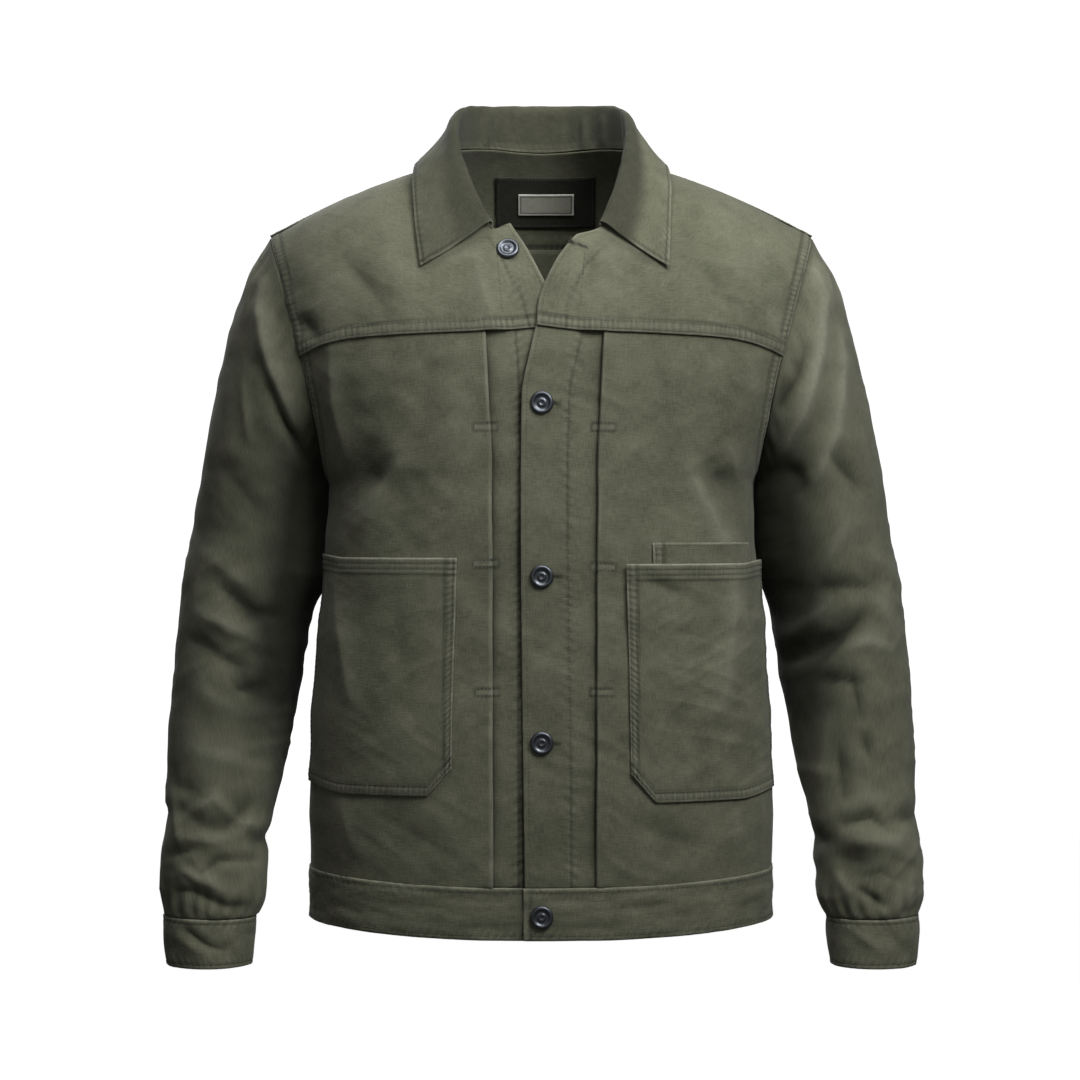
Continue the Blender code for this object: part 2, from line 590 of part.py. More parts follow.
def sleeve(side, sides, rows):
    angle = np.linspace(0.0, 2 * math.pi, sides, endpoint=False)[None]
    along = np.linspace(0.0, 1.0, rows + 1)[:, None]
    angle, along = np.broadcast_arrays(angle, along)
    points = sleeve_ring(SLEEVE, angle, along)
    start = sleeve_ring(SLEEVE, angle, 0.0 * along)
    fade = (1.0 - ease(0.0, SLEEVE_FADE, along))[..., None]
    points = points + (sleeve_head(angle) - start) * fade
    around = np.roll(points, -1, axis=1) - np.roll(points, 1, axis=1)
    down = np.gradient(points, axis=0)
    outward = np.cross(around, down)
    outward /= np.linalg.norm(outward, axis=-1, keepdims=True)
    points = points * [side, 1, 1]
    outward = outward * [side, 1, 1]
    keep = ease(0.0, 0.12, along) * ease(1.0, 0.93, along)
    is_front = ease(-0.15, 0.15, np.sin(angle))
    name = "sleeve_left" if side > 0 else "sleeve_right"
    ahead = folded(points, FOLDS[name + "_front"], outward) - points
    behind = folded(points, FOLDS[name + "_back"], outward) - points
    share = is_front[..., None]
    return points + (ahead * share + behind * (1 - share)) * keep[..., None]


def cuff(side):
    angle = np.linspace(0.0, 2 * math.pi, CUFF_SIDES, endpoint=False)[None]
    along = np.linspace(0.0, 1.0, 4)[:, None]
    points = sleeve_ring(CUFF, *np.broadcast_arrays(angle, along))
    return points * [side, 1, 1]


def waistband():
    """One band round the body, whose ends cross at the front."""
    stop = BAND_STOP - 2 * math.pi
    angle = np.linspace(BAND_START, stop, 45)[None]
    rows = np.linspace(0.0, 1.0, 3)[:, None]
    dip = FRONT_DIP * np.where(np.cos(angle) > 0, np.cos(angle) ** 2, 0.0)
    height = mix(HEM, WAIST_SEAM, rows) - dip
    over, under = ease(stop + BAND_REACH, stop, angle), ease(BAND_START - BAND_REACH, BAND_START, angle)
    lift = BAND_LAYER / 2 * (over - under) + BAND_PROUD
    width = np.abs(np.sin(angle)) * body_size("half_width", height)
    centre = np.where(np.cos(angle) > 0, 1.0 - ease(0.030, 0.062, width), 0.0)
    lift = lift - BAND_SET_BACK * LAYER * centre
    angle, height = np.broadcast_arrays(angle, height)
    return lifted(torso, angle, height, lift)


def panel_angles(front, height, first, last):
    """The front panel's own columns between two angles, with those two as the ends."""
    start = np.arcsin(front["pleat"]["x"][0] / body_size("half_width", height))
    columns = np.linspace(start, SIDE_SEAM, PANEL_COLUMNS + 1)
    kept = (columns > first + 0.04) & (columns < last - 0.04)
    return np.concatenate([[first], columns[kept], [last]])


def pocket(front):
    """Patch laid on the front: square at the top, with its inner bottom corner cut off."""
    middle = (POCKET_TOP + POCKET_BOTTOM) / 2
    width = body_size("half_width", middle)
    cut = POCKET_INNER + POCKET_CUT_WIDTH
    first = np.arcsin(np.array([POCKET_INNER, mix(POCKET_INNER, cut, 0.5), cut]) / width)
    out = panel_angles(front, middle, first[2], POCKET_OUTER_ANGLE)
    angle = np.concatenate([first[:2], out])[None]
    rows = np.linspace(0.0, 1.0, 10)[:, None]
    x = width * np.sin(angle)
    low = POCKET_BOTTOM + POCKET_CUT_HEIGHT * np.clip((cut - x) / POCKET_CUT_WIDTH, 0.0, 1.0)
    low = low + POCKET_SIDE_UP * ease(0.16, width, x)
    high = POCKET_TOP + POCKET_CORNER_UP * ease(0.17, width, x)
    height = mix(low, high, rows) + front["pocket_height"]
    across = np.sin(np.clip((x - POCKET_INNER) / 0.125, 0.0, 1.0) * math.pi)
    mouth = POCKET_MOUTH * ease(0.80, 1.0, rows) * across
    lift = LAYER + mouth + POCKET_FULLNESS * np.sin(rows * math.pi) * across
    if front["side"] > 0:
        over = ease(INNER_POCKET_BOTTOM - 0.030, INNER_POCKET_BOTTOM - 0.011, height)
        lift = lift + CLEAR + LAYER * over
    angle, height = np.broadcast_arrays(angle, height)
    points = lifted(torso, angle, height, lift)
    outward = grid_normals(points) * [front["side"], 1, 1]
    points[..., 0] *= front["side"]
    return points, outward


def inner_pocket():
    height = np.linspace(INNER_POCKET_BOTTOM, INNER_POCKET_TOP, 4)[:, None]
    width = body_size("half_width", INNER_POCKET_TOP)
    ends = np.arcsin(np.array([INNER_POCKET_INNER, INNER_POCKET_OUTER]) / width)
    angle = panel_angles(FRONTS["left"], INNER_POCKET_TOP, ends[0], ends[1])
    angle, height = np.broadcast_arrays(angle[None], height)
    return lifted(torso, angle, height, LAYER + CLEAR + 0.0 * angle)


def inside_back(left, right, bottom, top, lift):
    """A rectangle on the inside of the back yoke."""
    x = np.linspace(left, right, 7)[None] + np.zeros((4, 1))
    height = np.linspace(bottom, top, 4)[:, None] + 0.0 * x
    turn = turn_at_height(x, height, True)
    return lifted(shoulder, x, turn, lift + 0.0 * x)


def collar():
    """Rises from the neck edge to the roll line, turns over, and falls to its outer edge."""
    stations = np.linspace(-1.0, 1.0, 29)
    half = np.abs(stations)
    side = np.sign(stations) + (stations == 0)
    size = {}
    for name, values in COLLAR.items():
        # The half table is mirrored, so that each line runs smoothly over the back centre.
        mirror = -1.0 if name.endswith("_x") else 1.0
        stops = np.concatenate([-np.array(COLLAR["share"][:0:-1]), COLLAR["share"]])
        both = np.concatenate([mirror * np.array(values[:0:-1]), values])
        size[name] = through(stations, stops, both, free=True)
        if name.endswith("_x"):
            size[name] = size[name] * side
    ends = np.where(side > 0, FRONTS["left"]["collar_end"], FRONTS["right"]["collar_end"])
    depth = np.where(side > 0, FRONTS["left"]["neck_depth"], FRONTS["right"]["neck_depth"])
    # The neck edge, by share: behind the shoulder seams first, then down each front.
    corner = 0.47
    behind = math.pi / 2 * np.clip(1.0 - half / corner, 0.0, 1.0)
    last = np.arccos(ends / NECK_HALF_WIDTH)
    ahead = last * np.clip((half - corner) / (1 - corner), 0.0, 1.0)
    is_back = half < corner
    x = NECK_HALF_WIDTH * np.where(is_back, np.cos(behind), np.cos(ahead))
    y = np.where(is_back, NECK_BACK * np.sin(behind), -depth * np.sin(ahead)) - SHOULDER_SEAM
    behind_ridge = y > 0
    turn = np.where(behind_ridge, turn_at_depth(x, np.abs(y), True),
                    turn_at_depth(x, np.abs(y), False))
    height = shoulder(x, turn)[..., 2]
    below = np.where(is_back, back_yoke_lift(turn), LAYER)
    below = mix(below, back_yoke_lift(turn), ease(0.62, 0.47, half))
    seam = lifted(shoulder, x, turn, below + CLOTH / 2 + COLLAR_CLEAR)
    shift = (ends - COLLAR["roll_x"][-1]) * half**3 * 0.9
    roll = np.stack([size["roll_x"] + shift, size["roll_y"], size["roll_z"]], 1)
    edge_y = size["edge_y"]
    edge_x = size["edge_x"] + (ends - COLLAR["roll_x"][-1]) * half**3 * COLLAR_TIP_SHARE
    edge_turn = np.where(edge_y > 0, turn_at_depth(edge_x, np.abs(edge_y), True),
                         turn_at_depth(edge_x, np.abs(edge_y), False))
    edge = lifted(shoulder, edge_x, edge_turn, size["edge_lift"])
    out = edge - roll
    out[:, 2] = 0.0
    out /= np.maximum(np.linalg.norm(out, axis=1, keepdims=True), 1e-9)
    up = np.array([0.0, 0.0, 1.0])
    rows = [seam, mix(seam, roll, 0.35), mix(seam, roll, 0.7), roll - 0.0015 * up]
    rows.append(roll + out * COLLAR_TURN * 0.5 + up * COLLAR_TURN * 0.6)
    far_side = roll + out * COLLAR_TURN * 2
    rows.append(far_side)
    bulge = (out * 0.6 + up * 0.8) * COLLAR_BULGE
    for share in (0.25, 0.5, 0.75, 1.0):
        rows.append(mix(far_side, edge, share) + bulge * 4 * share * (1 - share))
    points = np.stack(rows)
    points[..., 0] *= side
    return points


def principled(name, colour, roughness, metallic=0.0):
    made = bpy.data.materials.new(name)
    made.use_nodes = True
    shader = made.node_tree.nodes["Principled BSDF"]
    shader.inputs["Base Color"].default_value = colour
    shader.inputs["Roughness"].default_value = roughness
    shader.inputs["Metallic"].default_value = metallic
    made.diffuse_color = colour
    return made


def cloth(name, points, wall, finish, collection, closed=False, pleated=False):
    """A grid of mid surface points as an object, with its wall from Solidify."""
    rows, columns = points.shape[:2]
    points = points + [BODY_SHIFT, 0.0, 0.0]
    index = np.arange(rows * columns).reshape(rows, columns)
    if closed:
        index = np.concatenate([index, index[:, :1]], axis=1)
    corners = [index[:-1, :-1], index[:-1, 1:], index[1:, 1:], index[1:, :-1]]
    faces = np.stack(corners, axis=-1).reshape(-1, 4)
    mesh = bpy.data.meshes.new(name)
    mesh.from_pydata(points.reshape(-1, 3).tolist(), [], faces.tolist())
    mesh.materials.append(finish)
    mesh.shade_smooth()
    made = bpy.data.objects.new(name, mesh)
    collection.objects.link(made)
    solidify = made.modifiers.new("wall", "SOLIDIFY")
    solidify.thickness = wall
    solidify.offset = 0.0
    solidify.use_even_offset = pleated
    solidify.use_quality_normals = True
    return made


def button(name, place, outward, finish, collection):
    """A turned tack button, facing outward."""
    mesh = bpy.data.meshes.new(name)
    points = [(radius, 0.0, height) for radius, height in BUTTON_PROFILE]
    mesh.from_pydata(points, [(i, i + 1) for i in range(len(points) - 1)], [])
    mesh.materials.append(finish)
    made = bpy.data.objects.new(name, mesh)
    collection.objects.link(made)
    screw = made.modifiers.new("turn", "SCREW")
    screw.steps = screw.render_steps = BUTTON_SIDES
    screw.use_merge_vertices = True
    screw.merge_threshold = 0.00001
    screw.use_smooth_shade = True
    made.location = place
    made.rotation_euler = Vector(outward).to_track_quat("Z", "Y").to_euler()
    return made


def button_places():
    """Each front button's seat on the cloth, and the way it faces."""
    places = []
    for number, height in enumerate(BUTTON_HEIGHTS):
        if number == 0:
            x = np.array([-TOP_BUTTON_X])
            turn = turn_at_height(x, np.array([height]), False)
            lift = float(front_yoke_lift(x, height, FRONTS["right"], -1.0)[0])
            lift += CLOTH / 2 + TOP_BUTTON_CLEAR
            surface, first, second, flip = shoulder, x, turn, -1.0
        else:
            x = np.array([BUTTON_X])
            first = np.arcsin(x / body_size("half_width", height))
            second, surface, flip = np.array([height]), torso, 1.0
            lift = -LAYER + CLOTH / 2
            if height < WAIST_SEAM:
                lift = BAND_PROUD - BAND_SET_BACK * LAYER + (BAND_LAYER + BAND) / 2
        seat = lifted(surface, first, second, lift + 0.0005)[0]
        ahead = lifted(surface, first, second, lift + 0.0015)[0] - seat
        turn_side = np.array([flip, 1.0, 1.0])
        places.append((seat * turn_side + [BODY_SHIFT, 0, 0], ahead * turn_side))
    return places


def cuff_button_place(side):
    """On the hidden back of the cuff, towards its outer side."""
    angle, along = np.array([CUFF_BUTTON_ANGLE]), np.array([0.5])
    seat = sleeve_ring(CUFF, angle, along)[0]
    around = sleeve_ring(CUFF, angle + 0.01, along)[0] - seat
    outward = np.cross(around, [0.0, 0.0, -1.0])
    outward /= np.linalg.norm(outward)
    seat = seat + outward * (BAND / 2 + 0.0008)
    return seat * [side, 1, 1] + [BODY_SHIFT, 0, 0], outward * [side, 1, 1]


def clear_scene():
    for old in list(bpy.data.objects):
        bpy.data.objects.remove(old, do_unlink=True)


def build():
    clear_scene()
    garment = bpy.data.collections.new("overshirt")
    bpy.context.scene.collection.children.link(garment)
    olive = principled("olive_canvas", OLIVE, 0.9)
    grey = principled("label_tape", LABEL_GREY, 0.85)
    metal = principled("gunmetal", GUNMETAL, 0.38, 1.0)

    for name, front in FRONTS.items():
        points, outward = front_panel(front)
        points = folded(points, FOLDS["front_" + name], outward)
        cloth("front_panel_" + name, points, CLOTH, olive, garment, pleated=True)
        points, outward = front_yoke(front)
        points = folded(points, FOLDS["front_" + name], outward)
        cloth("front_yoke_" + name, points, CLOTH, olive, garment)
        points, outward = pocket(front)
        points = folded(points, FOLDS["front_" + name], outward)
        cloth("pocket_" + name, points, CLOTH, olive, garment)
        points = sleeve(front["side"], SLEEVE_SIDES, SLEEVE_ROWS)
        cloth("sleeve_" + name, points, CLOTH, olive, garment, closed=True)
        cloth("cuff_" + name, cuff(front["side"]), BAND, olive, garment, closed=True)
        place, outward = cuff_button_place(front["side"])
        button("cuff_button_" + name, place, outward, metal, garment)
    points, outward = back_panel()
    cloth("back_panel", folded(points, FOLDS["back"], outward), CLOTH, olive, garment)
    cloth("back_yoke", back_yoke(), CLOTH, olive, garment)
    cloth("collar", collar(), CLOTH, olive, garment)
    cloth("waistband", waistband(), BAND, olive, garment)
    cloth("inner_pocket_left", inner_pocket(), CLOTH, olive, garment)
    patch = inside_back(PATCH_LEFT, PATCH_RIGHT, PATCH_BOTTOM, PATCH_TOP, PATCH_LIFT)
    cloth("neck_patch", patch, PATCH, olive, garment)
    label = inside_back(LABEL_LEFT, LABEL_RIGHT, LABEL_BOTTOM, LABEL_TOP, LABEL_LIFT)
    cloth("neck_label", label, PATCH, grey, garment)
    for number, (place, outward) in enumerate(button_places(), start=1):
        button("button_%d" % number, place, outward, metal, garment)


build()
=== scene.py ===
"""Looks of the cotton canvas overshirt: creased and stitched cloth, tack buttons, light and camera.

Every piece of cloth is a thin closed shell on the same mid surface as its solid, with main
creases, sewn seams and puckers worked out as whole arrays. Metres, +Z up, -Y the front.
"""

import math

import bpy
import numpy as np
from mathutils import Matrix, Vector


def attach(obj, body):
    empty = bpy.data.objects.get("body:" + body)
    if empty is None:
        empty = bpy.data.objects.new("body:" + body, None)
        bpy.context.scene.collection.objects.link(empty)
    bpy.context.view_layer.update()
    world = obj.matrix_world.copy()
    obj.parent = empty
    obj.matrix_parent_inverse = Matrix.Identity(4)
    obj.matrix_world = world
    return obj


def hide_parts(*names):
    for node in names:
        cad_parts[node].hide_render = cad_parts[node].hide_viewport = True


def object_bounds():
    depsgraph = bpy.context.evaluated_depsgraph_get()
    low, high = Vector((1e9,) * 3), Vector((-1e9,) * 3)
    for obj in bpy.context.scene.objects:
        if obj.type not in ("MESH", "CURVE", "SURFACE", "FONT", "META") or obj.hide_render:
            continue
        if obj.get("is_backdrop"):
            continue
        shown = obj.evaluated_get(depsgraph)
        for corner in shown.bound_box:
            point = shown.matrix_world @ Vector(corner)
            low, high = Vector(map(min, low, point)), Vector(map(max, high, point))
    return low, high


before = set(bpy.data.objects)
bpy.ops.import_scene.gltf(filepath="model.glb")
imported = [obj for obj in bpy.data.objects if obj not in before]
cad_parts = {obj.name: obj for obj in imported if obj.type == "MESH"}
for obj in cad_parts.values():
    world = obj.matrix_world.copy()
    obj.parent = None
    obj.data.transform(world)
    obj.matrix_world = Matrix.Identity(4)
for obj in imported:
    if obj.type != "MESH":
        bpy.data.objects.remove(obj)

bl_info = {
    "name": "Canvas overshirt",
    "version": (1, 0, 0),
    "blender": (4, 5, 0),
    "location": "View3D > Sidebar > Overshirt",
    "description": "Builds a creased, stitched cotton overshirt with tack buttons, light and camera",
    "category": "Add Mesh",
}

# Cloth, in metres: walls, steps between layers, the gap at a seam, and the pleat's depth
CLOTH, BAND, PATCH = 0.0012, 0.0022, 0.0010
LAYER, BAND_LAYER = 0.0017, 0.0026
TOUCH, CLEAR = 0.0004, 0.0003
PLEAT_UNDERLAY = 0.012

# Body
CHEST_HEIGHT, CHEST_HALF_WIDTH = -0.17, 0.22
FRONT_ROUND, BACK_ROUND = 2.5, 2.4
BODY_SHIFT = 0.0010
BODY = {
    "height": (-0.652, -0.612, -0.586, -0.560, -0.521, -0.469, -0.417, -0.378, -0.339, -0.300,
               -0.275, -0.262, -0.245, -0.220, -0.195, -0.170, -0.120, -0.090, -0.060, 0.0),
    "half_width": (0.1975, 0.1980, 0.1982, 0.1990, 0.1975, 0.1953, 0.1920, 0.1882, 0.1855, 0.1830,
                   0.1820, 0.1870, 0.1945, 0.2070, 0.2183, 0.2279, 0.2394, 0.2449, 0.2500, 0.2560),
    "front": (0.122, 0.123, 0.125, 0.127, 0.129, 0.131, 0.132, 0.133, 0.134, 0.135,
              0.135, 0.135, 0.135, 0.1345, 0.134, 0.133, 0.133, 0.133, 0.133, 0.133),
    "back": (0.112, 0.113, 0.115, 0.116, 0.117, 0.117, 0.117, 0.118, 0.118, 0.120,
             0.121, 0.122, 0.123, 0.124, 0.125, 0.125, 0.125, 0.125, 0.125, 0.125),
}
WAIST_SEAM, HEM = -0.6014, -0.6438
FRONT_DIP = 0.0086
# Where the two fronts stop lying on each other, from the centre
CROSSING_FROM, CROSSING_TO = 0.020, 0.042

# Shoulders and neck; a column power is how squarely the body turns in towards the ridge
FRONT_COLUMN, FRONT_COLUMN_SIDE, BACK_COLUMN = 1.5, 2.1, 2.2
RIDGE_START, RIDGE_SLOPE, RIDGE_CURVE = 0.0020, 0.27, 0.90
RIDGE_FROM = 0.0755
NECK_CLIMB, CLIMB_FROM, CLIMB_TO = 0.009, 0.068, 0.110
NECK_HALF_WIDTH = 0.071
NECK_RISE, NECK_RISE_POWER = 0.029, 1.05
NECK_BACK = 0.081
SHOULDER_SEAM = 0.011
SEAM_LAP = 0.006
SHOULDER_LAP, SHOULDER_LAP_LIFT = 0.004, 0.55
BACK_SEAM_CENTRE, BACK_SEAM_DROP = -0.067, 0.018

# Armhole, as seen from the front
ARM_TOP, ARM_PIT = 0.232, 0.182
PIT_HEIGHT = -0.275
ARM_BOW = 0.0065
ARM_GAP = 0.0014
SIDE_SEAM = math.acos(0.0006)

# The seam between front yoke and front: height by share of the half width
YOKE_SEAM = {
    "share": (0.0, 0.13, 0.26, 0.52, 0.67, 0.78, 0.90),
    "height": (-0.1450, -0.1490, -0.1503, -0.1525, -0.1545, -0.1590, -0.1690),
}
# Height at which a front's rows end under its yoke
TOP_ROW = -0.143

# Each side, in side coordinates: x grows from the centre towards that side's sleeve
FRONTS = {
    "right": {
        "side": -1.0,
        "overlap": -1.0,
        "edge": {
            "height": (-0.612, -0.200, -0.150, -0.125, -0.108, -0.0912, -0.0785, -0.0674, -0.0581),
            "x": (-0.0200, -0.0200, -0.0165, -0.0100, -0.0021, 0.0058, 0.0125, 0.0200, 0.0259),
        },
        "collar_end": 0.0405,
        "neck_depth": 0.0980,
        "pleat": {"height": (-0.612, -0.33, -0.22, -0.14), "x": (0.0411, 0.0411, 0.0436, 0.0469)},
        "pocket_height": 0.0025,
    },
    "left": {
        "side": 1.0,
        "overlap": 1.0,
        "edge": {
            "height": (-0.612, -0.289, -0.207, -0.1655, -0.1441, -0.1232, -0.1122, -0.0976,
                       -0.0851, -0.0698),
            "x": (-0.0132, -0.0165, -0.0156, -0.0078, -0.0033, -0.0016, 0.0021, 0.0094,
                  0.0168, 0.0292),
        },
        "collar_end": 0.0497,
        "neck_depth": 0.1098,
        "pleat": {"height": (-0.612, -0.33, -0.22, -0.14), "x": (0.0469, 0.0469, 0.0494, 0.0526)},
        "pocket_height": -0.0025,
    },
}

# Patch pocket
POCKET_TOP, POCKET_BOTTOM = -0.3395, -0.5355
POCKET_INNER = 0.0725
POCKET_OUTER_ANGLE = math.radians(82)
POCKET_CUT_WIDTH, POCKET_CUT_HEIGHT = 0.019, 0.0235
POCKET_MOUTH, POCKET_FULLNESS = 0.0020, 0.0012
POCKET_CORNER_UP, POCKET_SIDE_UP = 0.003, 0.006
INNER_POCKET_TOP, INNER_POCKET_BOTTOM = -0.3245, -0.375
INNER_POCKET_INNER, INNER_POCKET_OUTER = 0.0913, 0.1740

# Neck patch and label on the inside of the back yoke
PATCH_LIFT, LABEL_LIFT = -0.0006, -0.0025
PATCH_LEFT, PATCH_RIGHT, PATCH_TOP, PATCH_BOTTOM = -0.0403, 0.0483, 0.0014, -0.0412
LABEL_LEFT, LABEL_RIGHT, LABEL_TOP, LABEL_BOTTOM = -0.0205, 0.0294, -0.0119, -0.0295

# Collar: half table from the back centre to the front end
COLLAR = {
    "share": (0.00, 0.13, 0.25, 0.36, 0.47, 0.60, 0.75, 0.88, 1.00),
    "roll_x": (0.0000, 0.0300, 0.0545, 0.0675, 0.0722, 0.0705, 0.0620, 0.0535, 0.0420),
    "roll_y": (0.0780, 0.0735, 0.0560, 0.0280, 0.0000, -0.0320, -0.0600, -0.0800, -0.0950),
    "roll_z": (0.0625, 0.0622, 0.0600, 0.0535, 0.0410, 0.0170, -0.0140, -0.0360, -0.0580),
    "edge_x": (0.0000, 0.0430, 0.0775, 0.0930, 0.1045, 0.1077, 0.1056, 0.1036, 0.1007),
    "edge_y": (0.0830, 0.0728, 0.0470, 0.0200, -0.0150, -0.0560, -0.0890, -0.1000, -0.1102),
    "edge_lift": (0.0090, 0.0088, 0.0086, 0.0086, 0.0086, 0.0080, 0.0065, 0.0060, 0.0060),
}
COLLAR_BULGE = -0.0011
COLLAR_TIP_SHARE, COLLAR_CLEAR = 0.60, 0.0016
COLLAR_TURN = 0.0022
# Upright folds in the stand: share of the collar's length, and height
COLLAR_FOLDS = ((0.365, 0.0024), (0.60, 0.0022), (0.655, 0.0026), (0.45, -0.0016), (0.56, -0.0012))

# Sleeve: outer and inner points as seen from the front, half depth and middle of each ring
SLEEVE = {
    "outer_x": (0.2335, 0.2500, 0.2665, 0.2768, 0.2855, 0.2928, 0.2990, 0.3045, 0.3120, 0.3150,
                0.3185, 0.3210, 0.3210, 0.3238, 0.3240, 0.3205),
    "outer_z": (-0.0600, -0.0900, -0.1315, -0.1704, -0.2093, -0.2483, -0.2872, -0.3261, -0.3650,
                -0.4040, -0.4498, -0.4970, -0.5420, -0.5860, -0.6150, -0.6400),
    "inner_x": (0.1850, 0.1870, 0.1875, 0.1878, 0.1880, 0.1888, 0.1905, 0.1985, 0.2045, 0.2090,
                0.2158, 0.2232, 0.2320, 0.2345, 0.2355, 0.2432),
    "inner_z": (-0.2735, -0.2830, -0.2970, -0.3120, -0.3260, -0.3400, -0.3570, -0.3810, -0.4120,
                -0.4450, -0.4850, -0.5240, -0.5600, -0.5960, -0.6220, -0.6412),
    "depth": (0.080, 0.079, 0.077, 0.075, 0.073, 0.071, 0.069, 0.067, 0.065, 0.063, 0.060,
              0.057, 0.054, 0.050, 0.046, 0.040),
    "middle_y": (0.000, 0.004, 0.009, 0.014, 0.017, 0.019, 0.020, 0.019, 0.015, 0.009, 0.001,
                 -0.008, -0.018, -0.028, -0.034, -0.038),
}
SLEEVE_FADE = 0.22
CUFF = {
    "outer_x": (0.3203, 0.3206, 0.3196, 0.3178),
    "outer_z": (-0.6408, -0.6545, -0.6680, -0.6815),
    "inner_x": (0.2440, 0.2442, 0.2455, 0.2470),
    "inner_z": (-0.6422, -0.6550, -0.6680, -0.6815),
    "depth": (0.0400, 0.0400, 0.0395, 0.0390),
    "middle_y": (-0.0382, -0.0390, -0.0400, -0.0410),
}

# Waistband: its two ends in radians from the front centre, how far it stands proud of the
# body, and how far its middle is set back with the centre strips, in cloth layers
BAND_START, BAND_STOP, BAND_REACH = 0.106, -0.0715, math.radians(24)
BAND_PROUD, BAND_SET_BACK = 0.0008, 1.6

# Where the tack buttons sit
BUTTON_X = 0.0005
BUTTON_HEIGHTS = (-0.0815, -0.2092, -0.3520, -0.4890, -0.6330)
TOP_BUTTON_X, TOP_BUTTON_CLEAR = -0.0276, 0.0009
CUFF_BUTTON_ANGLE = math.radians(235)

# Coarse rows and columns of the yokes, made finer afterwards
STRIP_COLUMNS, PANEL_COLUMNS = 3, 11
YOKE_EDGE_ROWS, YOKE_NECK_ROWS = 4, 6
BACK_COLUMNS, BACK_YOKE_ROWS = 24, 9

# Sewn bars across each pleat, side coordinates
BARS = {
    "right": ((0.0455, -0.2290), (0.0455, -0.3410), (0.0440, -0.4472)),
    "left": ((0.0515, -0.2290), (0.0510, -0.3442), (0.0505, -0.4472)),
}
# The front facing's stitch line on each yoke: heights and x
FACING_STITCH = {
    "right": ((-0.0760, -0.0824, -0.1130, -0.1480), (0.0368, 0.0365, 0.0340, 0.0299)),
    "left": ((-0.0760, -0.0824, -0.1130, -0.1480), (0.0370, 0.0362, 0.0335, 0.0300)),
}

MILLIMETRES = 1000.0

# Where each collar leaf shades its front yoke, in millimetres: width and depth, then a line
COLLAR_SHADOW = {
    "right": (5.0, 1000.0, 42, -67, 98, -99),
    "left": (5.0, 1000.0, 50, -67, 103, -99),
}

